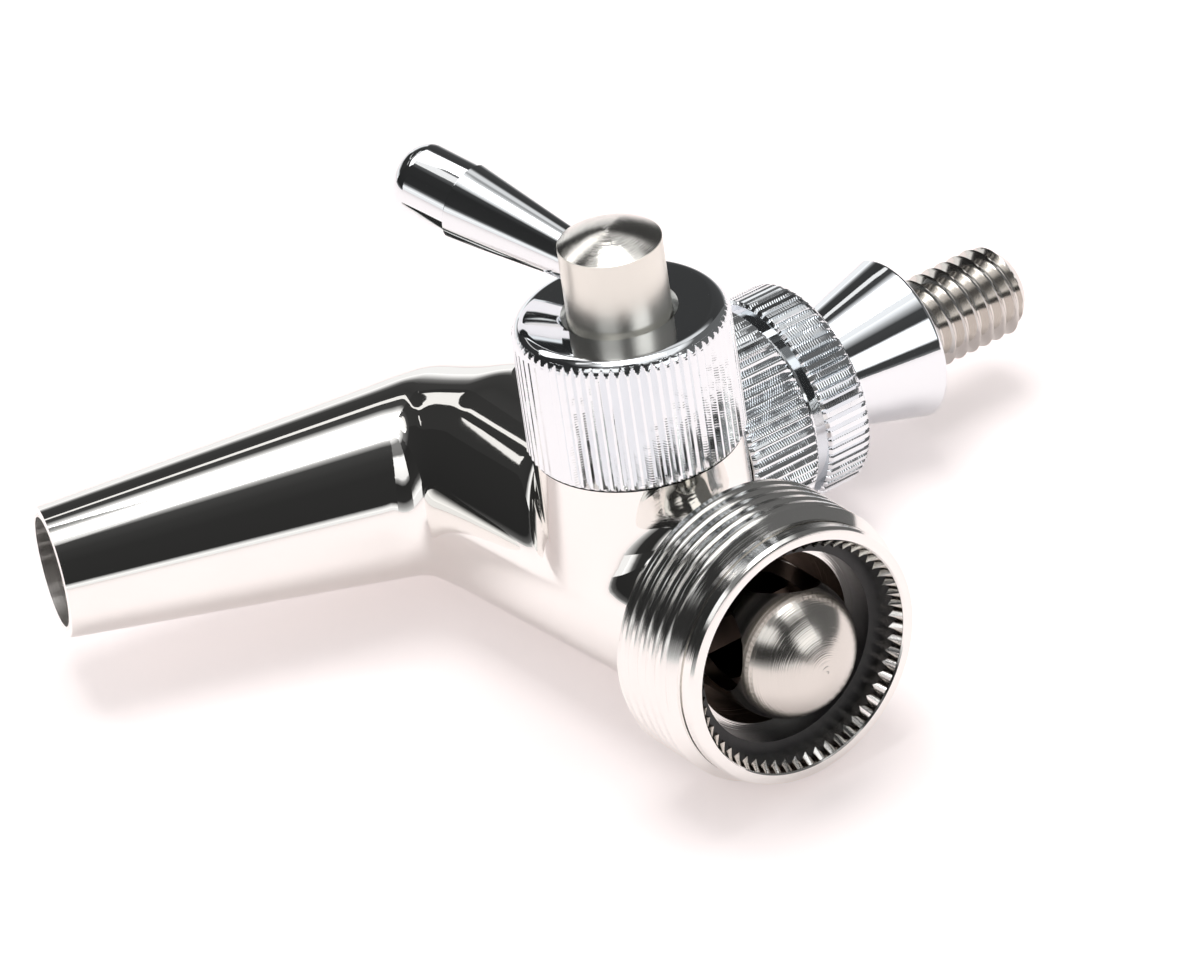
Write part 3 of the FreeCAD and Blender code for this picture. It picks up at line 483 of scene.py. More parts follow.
def turning_marks(bench, along, radius, pitch):
    """tool rings on walls and faces alike"""
    travel = bench.node("ShaderNodeCombineXYZ", inputs={0: radius + along, 1: radius - along})
    return bench.node("ShaderNodeTexNoise", {"noise_dimensions": "2D"}, {
        "Vector": travel, "Scale": 1 / pitch, "Detail": 2.0,
    })


def polished_metal(name, colour, stain, roughness, haze_share):
    """Mirror-bright metal with faint polishing haze and hairlines."""
    material, bench = new_material(name)
    cloud, hair, haze = polish(bench, own_place(bench))
    return finished(material, bench, mixed(bench, cloud, colour, stain), roughness + haze_share * haze,
                    hair, HAIRLINE_DEPTH)


def body_metal(name, colour, stain):
    """Mirror-bright outside; the spout's bore has the dull rings of a boring tool."""
    material, bench = new_material(name)
    place = own_place(bench)
    cloud, hair, haze = polish(bench, place)
    along, radius = round_axis(bench, place, ALONG_SPOUT)
    bored = radius.maths("LESS_THAN", (SPOUT_BORE_RADIUS + BORE_MARGIN) * MM)
    rings = tool_rings(bench, along, BORE_RING_PITCH)
    return finished(material, bench, mixed(bench, cloud, colour, stain), 0.02 + 0.02 * haze + bored * 0.3,
                    hair + bored * rings * 25, HAIRLINE_DEPTH)


def knurled_chrome(name, frame_in, crest):
    """Chrome over a rolled knurl: fine ripples along the teeth, in patches."""
    material, bench = new_material(name)
    place = own_place(bench)
    along, radius = round_axis(bench, place, frame_in)
    on_teeth = radius.maths("GREATER_THAN", (crest - KNURL_DEPTH - KNURL_MARGIN) * MM)
    cloud = speckle(bench, place, CLOUDS)
    patch = speckle(bench, place, 800, 1.0)
    fine = speckle(bench, place, 6000, 2.0)
    ripple = (along * (FULL_TURN / RIPPLE_PITCH) + patch * 6).maths("SINE")
    rippled = on_teeth * ((patch - 0.4) * 5).limited()
    return finished(material, bench, mixed(bench, cloud, CHROME, CHROME_STAIN),
                    0.03 + 0.02 * cloud + 0.07 * on_teeth,
                    rippled * ripple + on_teeth * fine * 0.6, RIPPLE_DEPTH)


def turned_metal(name, colour, stain, roughness, frame_in, ring_pitch, depth, variation=0.12):
    """Metal with fine tool rings round the Z axis of a frame."""
    material, bench = new_material(name)
    place = own_place(bench)
    rings = turning_marks(bench, *round_axis(bench, place, frame_in), ring_pitch)
    grain = speckle(bench, place, GRAIN, 2.0)
    cloud = speckle(bench, place, 300)
    return finished(material, bench, mixed(bench, cloud * 0.6 + rings * 0.4, colour, stain),
                    roughness + variation * (rings - 0.5), rings * 0.8 + grain * 0.2, depth)


def stem_metal(name, side_colour, end_colour):
    """Satin sides with a fine even grain, and a domed end with turned rings."""
    material, bench = new_material(name)
    place = own_place(bench)
    along, radius = round_axis(bench, place, ALONG_STEM)
    on_end = along.maths("GREATER_THAN", (STEM_RIM + RIM_MARGIN) * MM)
    rings = tool_rings(bench, radius, STEM_RING_PITCH)
    grain = speckle(bench, place, 8000, 2.0)
    cloud = speckle(bench, place, 500)
    return finished(material, bench, mixed(bench, (on_end + cloud * 0.3).limited(), side_colour, end_colour),
                    0.33 + 0.1 * (grain - 0.5) - 0.2 * on_end,
                    on_end * rings * 6 + grain * (1 - on_end) * 1.5, SATIN_DEPTH)


def coupling_metal(name, colour, stain, inside):
    """Turned steel outside and on the splines, with painted shade on the water chamber's walls where the
    beer runs.
    """
    material, bench = new_material(name)
    place = own_place(bench)
    along, radius = round_axis(bench, place, ALONG_BORE)
    rings = turning_marks(bench, along, radius, COUPLING_RING_PITCH)
    grain = speckle(bench, place, GRAIN, 2.0)
    cloud = speckle(bench, place, 300)
    # painted shade: the water chamber behind the washer floor gets a dark colour
    chamber_shade = along.maths("LESS_THAN", -WASHER_FLOOR * MM) * radius.maths("LESS_THAN", CHAMBER_SHADE_RADIUS * MM)
    unshaded = mixed(bench, cloud * 0.6 + rings * 0.4, colour, stain)
    return finished(material, bench, mixed(bench, chamber_shade, unshaded, inside),
                    0.1 + 0.1 * (rings - 0.5) + 0.15 * chamber_shade,
                    rings * 0.9 + grain * 0.1, COUPLING_MARK_DEPTH)


def plug_metal(name, colour, stain, inside):
    """Fine turning rings round the dome with the tool's mark at its middle, and painted shade in its bores
    and ports.
    """
    material, bench = new_material(name)
    place = own_place(bench)
    along, radius = round_axis(bench, place, ALONG_BORE)
    rise = (along + DOME_FROM_FACE * MM).maths("MAXIMUM", 0)
    reach = (radius * radius + rise * rise).maths("SQRT")
    # painted shade: everything inside the dome's outer ball, its bores and ports, gets a dark colour
    bored = reach.maths("LESS_THAN", (PLUG_RADIUS - PORT_MARGIN) * MM)
    rings = tool_rings(bench, radius, COUPLING_RING_PITCH)
    fade = (1 - radius / (TOOL_MARK_RADIUS * MM)).limited()
    mark = fade * (radius * (FULL_TURN / (TOOL_MARK_RADIUS * MM / 3))).maths("COSINE")
    unshaded = mixed(bench, speckle(bench, place, 350) * 0.6 + rings * 0.4, colour, stain)
    return finished(material, bench, mixed(bench, bored, unshaded, inside),
                    0.2 + 0.08 * (rings - 0.5) + 0.15 * bored, rings + mark * 1.6, PLUG_MARK_DEPTH)


def rubber(name, colour, roughness):
    """Dull black with fine pores and paler dust."""
    material, bench = new_material(name)
    place = own_place(bench)
    pores = speckle(bench, place, 5000, 4.0)
    dust = speckle(bench, place, 500)
    pale = tuple(min(1, part * 2.6 + 0.01) for part in colour[:3]) + (1,)
    return finished(material, bench, mixed(bench, dust * 0.5, colour, pale), roughness + 0.2 * (pores - 0.5),
                    pores, SOFT_DEPTH, metallic=0.0)


def slippery_plastic(name, colour, roughness):
    """Pale plastic with faint flow marks."""
    material, bench = new_material(name)
    flow = speckle(bench, own_place(bench), 900)
    deep = tuple(part * 0.85 for part in colour[:3]) + (1,)
    return finished(material, bench, mixed(bench, flow, colour, deep), roughness + 0.1 * (flow - 0.5),
                    flow, SOFT_DEPTH, metallic=0.0)


BODY_STEEL = body_metal("body_steel", (0.92, 0.91, 0.885, 1), (0.89, 0.875, 0.85, 1))
CHROME, CHROME_STAIN = (0.88, 0.905, 0.925, 1), (0.84, 0.87, 0.90, 1)
BONNET_CHROME = polished_metal("bonnet_chrome", CHROME, CHROME_STAIN, roughness=0.03, haze_share=0.03)
LEVER_CHROME = polished_metal("lever_chrome", (0.87, 0.89, 0.905, 1), (0.83, 0.855, 0.875, 1),
                              roughness=0.03, haze_share=0.03)
# the coupling's last colour is the painted shade of its water chamber
COUPLING_STEEL = coupling_metal("coupling_steel", (0.92, 0.91, 0.885, 1), (0.87, 0.855, 0.83, 1),
                                (0.11, 0.085, 0.07, 1))
SATIN_STEEL = stem_metal("satin_steel", (0.82, 0.80, 0.74, 1), (0.80, 0.78, 0.74, 1))
# the plug's last colour is the painted shade of its bores and ports
PLUG_STEEL = plug_metal("plug_steel", (0.74, 0.71, 0.665, 1), (0.66, 0.63, 0.59, 1), (0.10, 0.075, 0.06, 1))
STUD_STEEL = turned_metal("stud_steel", (0.76, 0.735, 0.70, 1), (0.64, 0.61, 0.575, 1),
                          roughness=0.13, frame_in=ALONG_HANDLE, ring_pitch=100 * MICRON,
                          depth=1.2 * MICRON, variation=0.06)
SHAFT_STEEL = turned_metal("shaft_steel", (0.60, 0.57, 0.54, 1), (0.50, 0.47, 0.45, 1),
                           roughness=0.25, frame_in=ALONG_BORE, ring_pitch=120 * MICRON,
                           depth=3 * MICRON)
WASHER_RUBBER = rubber("washer_rubber", (0.012, 0.012, 0.013, 1), roughness=0.45)
SEAL_RUBBER = rubber("seal_rubber", (0.015, 0.014, 0.014, 1), roughness=0.4)
BEARING_PLASTIC = slippery_plastic("bearing_plastic", (0.75, 0.74, 0.70, 1), roughness=0.35)
SLIDE_PLASTIC = slippery_plastic("slide_plastic", (0.82, 0.82, 0.80, 1), roughness=0.3)

NODE_FINISHES = {
    "coupling_washer": WASHER_RUBBER, "flow_plug": PLUG_STEEL, "flow_stem": SATIN_STEEL,
    "crank_pin": SHAFT_STEEL, "stem_o_ring_inner": SEAL_RUBBER, "stem_o_ring_outer": SEAL_RUBBER,
    "flow_thrust_washer": SLIDE_PLASTIC, "flow_friction_washer": SLIDE_PLASTIC,
    "flow_lever": LEVER_CHROME, "handle_collar": BONNET_CHROME, "lower_cup": BEARING_PLASTIC,
    "friction_ring": BEARING_PLASTIC, "bonnet_washer": SLIDE_PLASTIC, "ball_o_ring": SEAL_RUBBER,
    "valve_shaft": SHAFT_STEEL, "shaft_seal": SEAL_RUBBER,
}
for node, finish in NODE_FINISHES.items():
    for slot in frame["nodes"][node].material_slots:
        slot.material = finish


# Smooth outside of the body: swept balls, joined with fillets

def swept_ball(points, start, end, start_radius, end_radius):
    """Distance from the surface of a ball that moves and changes size from start to end, and the way out."""
    way = np.array(end - start)
    length = np.linalg.norm(way)
    way /= length
    slope = (start_radius - end_radius) / length
    offset = points - np.array(start)
    along = offset @ way
    across = np.sqrt(np.maximum((offset ** 2).sum(1) - along ** 2, 0))
    centre = np.clip(along - across * slope / math.sqrt(1 - slope ** 2), 0, length)
    reach = offset - centre[:, None] * way
    distance = np.sqrt((reach ** 2).sum(1)) + TINY
    return distance - (start_radius - slope * centre), reach / distance[:, None]


def nearer(first, second):
    """two forms joined without a fillet"""
    pick = first[0] < second[0]
    return np.where(pick, first[0], second[0]), np.where(pick[:, None], first[1], second[1])


def filleted(first, second, radius):
    """Two forms joined with a fillet that fades out where their surfaces run into each other."""
    (a, way_a), (b, way_b) = first, second
    meeting = np.clip(1 - (way_a * way_b).sum(1), 0, 1)
    fillet = radius * meeting * (2 - meeting) + LEAST_FILLET
    near_a, near_b = np.maximum(fillet - a, 0), np.maximum(fillet - b, 0)
    near = np.hypot(near_a, near_b)
    distance = np.maximum(fillet, np.minimum(a, b)) - near
    blend = (near_a[:, None] * way_a + near_b[:, None] * way_b) / np.maximum(near, TINY)[:, None]
    in_fillet = (near_a > 0) & (near_b > 0)
    plain = np.where((a < b)[:, None], way_a, way_b)
    return distance, np.where(in_fillet[:, None], blend, plain)


PAST_TIP = 1.3


def body_form(points):
    """distance of points from the body's outside, and the way out"""
    rear = Vector((0, 0, 0))
    rear_radius = SHOULDER_RADIUS - SHOULDER_FROM_FACE * math.sin(math.radians(BARREL_TAPER))
    stem_middle, handle_middle = ALONG_STEM.translation, ALONG_HANDLE.translation
    boss_far = stem_middle + Vector((BOSS_END + 2 * BOSS_RADIUS, 0, 0))
    neck_far = handle_middle + Vector((0, 0, NECK_TOP + 2 * NECK_RADIUS))
    spout_far = ELBOW + SPOUT_WAY * SPOUT_LENGTH * PAST_TIP
    far_radius = ELBOW_RADIUS - PAST_TIP * (ELBOW_RADIUS - SPOUT_TIP_RADIUS)
    barrel = swept_ball(points, rear, SHOULDER, rear_radius, SHOULDER_RADIUS)
    barrel = nearer(barrel, swept_ball(points, SHOULDER, ELBOW, SHOULDER_RADIUS, ELBOW_RADIUS))
    spout = swept_ball(points, ELBOW, spout_far, ELBOW_RADIUS, far_radius)
    boss = swept_ball(points, stem_middle, boss_far, BOSS_RADIUS, BOSS_RADIUS)
    neck = swept_ball(points, handle_middle, neck_far, NECK_RADIUS, NECK_RADIUS)
    whole = filleted(barrel, spout, CREASE_FILLET)
    whole = filleted(whole, boss, BRANCH_FILLET)
    return filleted(whole, neck, BRANCH_FILLET)


def steepest(points, step=0.01):
    """the way out of the body's outside, by differences"""
    sides = [body_form(points + np.eye(3)[k] * step)[0] - body_form(points - np.eye(3)[k] * step)[0]
             for k in range(3)]
    way = np.stack(sides, 1)
    return way / np.linalg.norm(way, axis=1)[:, None]


def on_surface(points, rounds=4):
    """points moved straight to the body's outside"""
    for _ in range(rounds):
        distance, way = body_form(points)
        points = points - distance[:, None] * way
    return points


NET_LOW, NET_HIGH, NET_PITCH = (-13.0, -79.0, -47.5), (16.5, -9.5, 18.5), 0.5


def crossings(grid, field):
    """for each cell of the grid, how many of its edges cross the surface, and the sum of those points"""
    cells = tuple(n - 1 for n in field.shape)
    count, total = np.zeros(cells), np.zeros(cells + (3,))
    for axis in range(3):
        low, high = [slice(None)] * 3, [slice(None)] * 3
        low[axis], high[axis] = slice(0, -1), slice(1, None)
        a, b = field[tuple(low)], field[tuple(high)]
        crosses = (a < 0) != (b < 0)
        spot = grid[tuple(low)].copy()
        spot[..., axis] += np.where(crosses, a / np.where(crosses, a - b, 1), 0) * NET_PITCH
        others = [k for k in range(3) if k != axis]
        for step in itertools.product((0, 1), repeat=2):
            part = [slice(None)] * 3
            for k, s in zip(others, step):
                part[k] = slice(s, s + cells[k])
            count += crosses[tuple(part)]
            total += np.where(crosses[tuple(part)][..., None], spot[tuple(part)], 0)
    return count, total


def faces_round_edges(field, number):
    """a face round each edge of the grid that crosses the surface, from the numbers of the cells there"""
    faces = []
    for axis in range(3):
        others = [(axis + 1) % 3, (axis + 2) % 3]
        inner = [slice(1, -1)] * 3
        inner[axis] = slice(0, -1)
        after = list(inner)
        after[axis] = slice(1, None)
        a, b = field[tuple(inner)] < 0, field[tuple(after)] < 0
        around = []
        for step in ((-1, -1), (0, -1), (0, 0), (-1, 0)):
            part = [slice(0, cells) for cells in number.shape]
            for k, s in zip(others, step):
                part[k] = slice(1 + s, number.shape[k] + s)
            around.append(number[tuple(part)])
        quads = np.stack(around, -1)
        faces.append(quads[a & ~b])
        faces.append(quads[b & ~a][:, ::-1])
    return np.concatenate(faces)


def body_net():
    """Vertices and faces of an even net over the body's outside, open where the form leaves the box."""
    axes = [np.arange(low, high, NET_PITCH) for low, high in zip(NET_LOW, NET_HIGH)]
    grid = np.stack(np.meshgrid(*axes, indexing="ij"), -1)
    field = body_form(grid.reshape(-1, 3))[0].reshape(grid.shape[:3])
    count, total = crossings(grid, field)
    crossed = count > 0
    number = np.full(count.shape, -1)
    number[crossed] = np.arange(crossed.sum())
    return total[crossed] / count[crossed][:, None], faces_round_edges(field, number)


def evened(vertices, faces, rounds=6):
    """The net's vertices moved to the middle of their neighbours and back to the surface."""
    edges = np.concatenate([faces[:, [k, (k + 1) % 4]] for k in range(4)])
    edges = np.concatenate([edges, edges[:, ::-1]])
    count = np.bincount(edges[:, 0], minlength=len(vertices))[:, None]
    for _ in range(rounds):
        middle = np.stack([np.bincount(edges[:, 0], vertices[edges[:, 1], k], len(vertices))
                           for k in range(3)], 1) / count
        vertices = on_surface(0.5 * vertices + 0.5 * middle, 2)
    return on_surface(vertices)


def sliced(work, at, way):
    """cut away what lies beyond a plane, and close the cut"""
    geometry = work.verts[:] + work.edges[:] + work.faces[:]
    cut = bmesh.ops.bisect_plane(work, geom=geometry, plane_co=Vector(at) * MM, plane_no=way,
                                 clear_outer=True, dist=LEAST_LENGTH)
    edges = [item for item in cut["geom_cut"] if isinstance(item, bmesh.types.BMEdge)]
    bmesh.ops.edgeloop_fill(work, edges=edges)


def with_tools(name, mesh, tools):
    """a closed mesh with turned tools added or cut"""
    base = added(name, mesh)
    helpers = []
    for operation, tool, place in tools:
        tool.transform(in_metres(place))
        helpers.append(added("tool", tool))
        modifier = base.modifiers.new("cut", "BOOLEAN")
        modifier.operation, modifier.object, modifier.solver = operation, helpers[-1], "MANIFOLD"
    result = with_modifiers(base)
    for helper in helpers + [base]:
        bpy.data.objects.remove(helper)
    return result


TOOL_COLUMNS, TOOL_CLEARANCE, BEHIND_FACE = 96, 2, 1


def solid_tool(outline):
    """a turned solid from an outline that starts and ends on the axis"""
    return sewn("tool", [turned_mesh("tool", outline, TOOL_COLUMNS)])


def stepped_tool(*steps):
    """a turned rod whose steps are (radius, first height, last height)"""
    outline = [(0, steps[0][1])]
    for radius, first, last in steps:
        outline += [(radius, first), (radius, last)]
    return solid_tool(outline + [(0, steps[-1][2])])


def spout_tool():
    """the spout's bore, which starts as a ball where its axis meets the body's bore"""
    above = ELBOW_DROP / math.cos(LEAN)
    end = SPOUT_LENGTH + TOOL_CLEARANCE
    return solid_tool([(0, -above - SPOUT_THROAT_RADIUS)]
                      + profile_arc((0, -above), SPOUT_THROAT_RADIUS, -80, 0, 8)
                      + [(SPOUT_BORE_RADIUS, SPOUT_LENGTH), (SPOUT_BORE_RADIUS, end), (0, end)])


def faucet_shell():
    """The polished outside of the body as a closed solid with its bores and threaded nipples."""
    vertices, faces = body_net()
    vertices = evened(vertices, faces)
    work = bmesh.new()
    spots = [work.verts.new(vertex * MM) for vertex in vertices]
    for face in faces:
        work.faces.new([spots[k] for k in face])
    sliced(work, (0, -BARREL_REAR, 0), (0, 1, 0))
    sliced(work, ELBOW + SPOUT_WAY * SPOUT_LENGTH, SPOUT_WAY)
    sliced(work, (BOSS_END, 0, 0), (1, 0, 0))
    sliced(work, (0, 0, NECK_TOP), (0, 0, 1))
    water_way = stepped_tool((GUIDE_RADIUS, BEHIND_FACE, -GUIDE_END),
                             (VALVE_BORE_RADIUS, -GUIDE_END, -SEAT_FROM_FACE),
                             (SEAT_BORE_RADIUS, -SEAT_FROM_FACE - SEAT_LENGTH, -SEAT_BORE_END))
    side_bore = stepped_tool((STEM_BORE_RADIUS, 0, POCKET_FLOOR),
                             (POCKET_RADIUS, POCKET_FLOOR, SIDE_NIPPLE_END + TOOL_CLEARANCE))
    handle_bore = stepped_tool((ARM_HOLE_RADIUS, 0, SOCKET_FLOOR),
                               (SOCKET_RADIUS, SOCKET_FLOOR, SOCKET_TOP + TOOL_CLEARANCE))
    mesh = with_tools("faucet_shell", mesh_from("faucet_shell", work), [
        ("UNION", stepped_tool((NIPPLE_RADIUS, NIPPLE_START, SIDE_NIPPLE_END)), ALONG_STEM),
        ("UNION", stepped_tool((NIPPLE_RADIUS, NIPPLE_START, SOCKET_TOP)), ALONG_HANDLE),
        ("DIFFERENCE", water_way, ALONG_BORE),
        ("DIFFERENCE", spout_tool(), ALONG_SPOUT),
        ("DIFFERENCE", side_bore, ALONG_STEM),
        ("DIFFERENCE", handle_bore, ALONG_HANDLE),
    ])
    shell = piece("faucet_shell", mesh, Matrix.Identity(4), "body", BODY_STEEL,
                  replaces=["faucet_body"])
    smooth_outside(shell.data)
    return shell


def numbers(items, name, width=1, kind=float):
    """one attribute of a mesh's vertices, faces or corners"""
    values = np.empty(len(items) * width, kind)
    items.foreach_get(name, values)
    return values.reshape(-1, width) if width > 1 else values


POLISHING_REACH = 1.0


def smooth_outside(mesh, nearest=0.004, flattest=0.9):
    """Corner normals taken from the body's form itself where a face lies on it."""
    spots = numbers(mesh.vertices, "co", 3) / MM
    close = np.abs(body_form(spots)[0]) < nearest
    ways = steepest(spots, POLISHING_REACH)
    face_ways = numbers(mesh.polygons, "normal", 3)
    sizes = numbers(mesh.polygons, "loop_total", kind=int)
    face_of = np.repeat(np.arange(len(sizes)), sizes)
    corners = numbers(mesh.loops, "vertex_index", kind=int)
    fits = close[corners] & ((ways[corners] * face_ways[face_of]).sum(1) > flattest)
    whole = np.bincount(face_of, ~fits) == 0
    normals = np.where(whole[face_of][:, None], ways[corners], 0)
    mesh.normals_split_custom_set(normals.tolist())


faucet_shell()


# Coupling: thread outside, splines inside

SPLINES, COLUMNS_IN_TOOTH = 57, 8
COUPLING_COLUMNS = SPLINES * COLUMNS_IN_TOOTH
teeth_out = teeth_tree("outward_teeth", inward=False)
teeth_in = teeth_tree("inward_teeth", inward=True)
screw_thread = thread_tree()


def threaded_tube(columns, rows_in_turn, pitch, crest, root, flats, low, high, material):
    """A thread: flats are its shares at root and crest, low and high an end's height, radius and slope."""
    turns = math.ceil((high[0] - low[0]) / pitch) + 2
    return worked(screw_thread, bpy.data.meshes.new("none"), {
        "Columns": columns, "Rows": rows_in_turn * turns + 1, "Rows in a turn": rows_in_turn,
        "Pitch": pitch * MM, "Crest radius": crest * MM, "Root radius": root * MM,
        "Root share": flats[0], "Crest share": flats[1],
        "Lowest": low[0] * MM, "Low radius": low[1] * MM, "Low slope": low[2],
        "Highest": high[0] * MM, "High radius": high[1] * MM, "High slope": high[2],
    }, material)


def body_radius_at(from_face):
    """radius of the tapered barrel"""
    taper = math.radians(BARREL_TAPER)
    return (SHOULDER_RADIUS - (SHOULDER_FROM_FACE - from_face) * math.sin(taper)) / math.cos(taper)


def coupling():
    """The threaded end of the body with its face, splined socket and water chamber."""
    pitch, crest, root, rows_in_turn = 1.411, 14.27, 13.7, 12
    relief, thread_start, thread_end = 13.3, 3.4, 10.9
    rear_start = thread_start - (crest - relief)
    barrel_radius = body_radius_at(BARREL_REAR)
    run_out = (crest - barrel_radius) / (BARREL_REAR - thread_end)
    thread = threaded_tube(COUPLING_COLUMNS, rows_in_turn, pitch, crest, root, (1 / 12, 5 / 12),
                           (-BARREL_REAR, barrel_radius, run_out), (-rear_start, relief, 1.0),
                           COUPLING_STEEL)
    tip, spline_root, mouth, mouth_bevel = 10.95, 11.86, 12.11, 0.15
    slope_start, slope_end, middle_row = 0.2, 1.15, 3.0
    chamber_radius, chamber_end = 8.9, 9.6
    blank = turned_mesh("socket", [
        (mouth, 0), (mouth - mouth_bevel, -mouth_bevel), (mouth - mouth_bevel, -slope_start),
        (tip, -slope_end), (tip, -middle_row), (tip, -WASHER_FLOOR), (chamber_radius, -WASHER_FLOOR),
    ], COUPLING_COLUMNS)
    socket = worked(teeth_in, blank, {
        "Teeth": SPLINES, "Crest radius": tip * MM, "Root radius": spline_root * MM,
        "Root share": 0.12, "Crest share": 0.0, "Lowest": -1.0, "Highest": (0.01 - slope_start) * MM,
        "Least radius": (tip - 0.3) * MM,
    }, COUPLING_STEEL)
    groove, groove_start, groove_end = 12.9, 1.6, 1.95
    rounded_edge = [(relief, -0.5), (13.1, -0.12), (12.8, 0)]
    rear = turned_mesh("rear", [
        (relief, -rear_start), (relief, -groove_end), (groove, -groove_end), (groove, -groove_start),
        (relief, -groove_start), *rounded_edge, (mouth, 0),
    ], COUPLING_COLUMNS)
    front = turned_mesh("front", [
        (chamber_radius, -WASHER_FLOOR), (chamber_radius, -chamber_end), (GUIDE_RADIUS, -chamber_end),
        (GUIDE_RADIUS, -BARREL_REAR), (barrel_radius, -BARREL_REAR),
    ], COUPLING_COLUMNS)
    mesh = sewn("coupling_end", [thread, rear, socket, front])
    return piece("coupling_end", mesh, ALONG_BORE, "body", COUPLING_STEEL, sharp=25,
                 replaces=["faucet_body"])


coupling()


# Knurled bonnets

KNURL_COLUMNS, KNURL_REACH = KNURL_TEETH * COLUMNS_IN_TOOTH, 1.2


def knurled(name, outline, crest, place, body_node, bands):
    """a turned bonnet with teeth cut in bands: their ends, and the share of a tooth that is crest"""
    chrome = knurled_chrome(name + "_chrome", place, crest)
    mesh = turned_mesh(name, outline, KNURL_COLUMNS, closed=True)
    for low, high, crest_share in bands:
        mesh = worked(teeth_out, mesh, {
            "Teeth": KNURL_TEETH, "Crest radius": crest * MM, "Root radius": (crest - KNURL_DEPTH) * MM,
            "Root share": 0.0, "Crest share": crest_share, "Lowest": low * MM, "Highest": high * MM,
            "Least radius": (crest - KNURL_REACH) * MM,
        }, chrome)
    mesh = sewn(name, [mesh])
    return piece(name, mesh, place, "body", chrome, sharp=25, replaces=[body_node])


def flow_bonnet():
    """One knurled band, a rounded top, and a lip inside that presses on the stem's washer."""
    low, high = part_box("flow_bonnet")
    start, end, crest = low[0] / MM, high[0] / MM, high[2] / MM
    lip, lip_end, stem_hole, mouth, mouth_bevel = 7.8, 23.4, 5.14, 5.7, 0.6
    crown_start, top, flat = 27.58, 9.06, 1.5
    thread_end, rounding = SIDE_NIPPLE_END + THREAD_GAP, crest - top
    inside = [(BONNET_THREAD_HOLE, start), (BONNET_THREAD_HOLE, thread_end), (lip, thread_end),
              (lip, lip_end), (stem_hole, lip_end), (stem_hole, end - mouth_bevel), (mouth, end)]
    crown = [(radius, crown_start + (height - crown_start) * (end - crown_start) / rounding)
             for radius, height in profile_arc((top, crown_start), rounding, 0, 90, 14)]
    outline = inside + [(top - flat, end)] + crown[::-1]
    outline += rows_between((crest, crown_start), (crest, start + RIM_BEVEL), 12)
    outline += [(crest - RIM_BEVEL, start)]
    return knurled("flow_bonnet_knurled", outline, crest, ALONG_STEM, "flow_bonnet",
                   [(start - 1, end + 1, 0.25)])


def handle_bonnet():
    """Two knurled bands with a groove between them, and a flared mouth for the handle."""
    low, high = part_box("handle_bonnet")
    start, end, crest = low[2] / MM, high[2] / MM, high[0] / MM
    lower_end, upper_start, upper_end, groove, bevel = 24.5, 25.8, 30.2, 9.5, 0.3
    throat, mouth, mouth_depth = 7.6, 9.5, 3.4
    thread_end, rounding = SOCKET_TOP + THREAD_GAP, end - upper_end
    inside = [(BONNET_THREAD_HOLE, start), (BONNET_THREAD_HOLE, thread_end), (throat, thread_end),
              (throat, end - mouth_depth), (mouth, end)]
    crown = profile_arc((crest - rounding, upper_end), rounding, 0, 90, 8)
    outline = inside + crown[::-1] + rows_between(crown[0], (crest, upper_start + bevel), 6)
    outline += [(crest - bevel, upper_start), (groove, upper_start), (groove, lower_end),
                (crest - bevel, lower_end), (crest, lower_end - bevel)]
    outline += rows_between((crest, lower_end - bevel), (crest, start + RIM_BEVEL), 8)
    outline += [(crest - RIM_BEVEL, start)]
    parting = upper_start - 0.2
    return knurled("handle_bonnet_knurled", outline, crest, ALONG_HANDLE, "handle_bonnet",
                   [(start - 1, parting, 0.2), (parting, end + 1, 0.5)])


flow_bonnet()
handle_bonnet()


# Handle lever with its threaded stud

def latitude(radius, ball):
    """the angle above a ball's middle at which its section has a radius"""
    return math.degrees(math.acos(radius / ball))


def handle_rod():
    """Rounded tip, arm, pivot ball and neck, turned in one with the stud."""
    inside_box, columns, rows_in_turn = 0.001, 96, 16
    stud_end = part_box("handle_lever")[1][2] / MM - inside_box
    pitch, crest, root, end_radius, thread_start = 1.5875, 4.7625, 3.72, 3.3, 42.65
    thread = threaded_tube(columns, rows_in_turn, pitch, crest, root, (1 / 8, 1 / 16),
                           (thread_start, root, 2.0), (stud_end, end_radius, 1.0), STUD_STEEL)
    tip, thin, thin_end, swell, arm, arm_start = 2.3, 1.7, 6.6, (2.2, 8.2), 3.0, 11.0
    ball, pivot, neck, neck_bevel = 7.0, 22.0, 4.2, 0.15
    outline = [(0, -tip)] + profile_arc((0, 0), tip, -80, latitude(thin, tip), 14)
    outline += [(thin, thin_end), swell, (arm, arm_start)]
    outline += profile_arc((0, pivot), ball, -latitude(arm, ball), latitude(neck, ball), 24)
    outline += [(neck, thread_start - neck_bevel), (root, thread_start)]
    lower = turned_mesh("rod", outline, columns)
    end = turned_mesh("end", [(end_radius, stud_end), (0, stud_end)], columns)
    mesh = sewn("handle_rod", [lower, thread, end])
    return piece("handle_rod", mesh, ALONG_HANDLE, "handle", STUD_STEEL, sharp=25,
                 replaces=["handle_lever"])


handle_rod()


# Camera, floor, walls, light seams and lamp

def add_camera():
    data = bpy.data.cameras.new("camera")
    data.lens, data.sensor_width = CAMERA_LENS, FILM_WIDTH
    data.clip_start, data.clip_end = 0.01, 50
    back = -CAMERA_LOOKS.normalized()
    right = CAMERA_UP.cross(back).normalized()
    turn = Matrix((right, back.cross(right), back)).transposed().to_4x4()
    camera = added("camera", data)
    camera.matrix_world = Matrix.Translation(CAMERA_PLACE * MM) @ turn
    bpy.context.scene.camera = camera


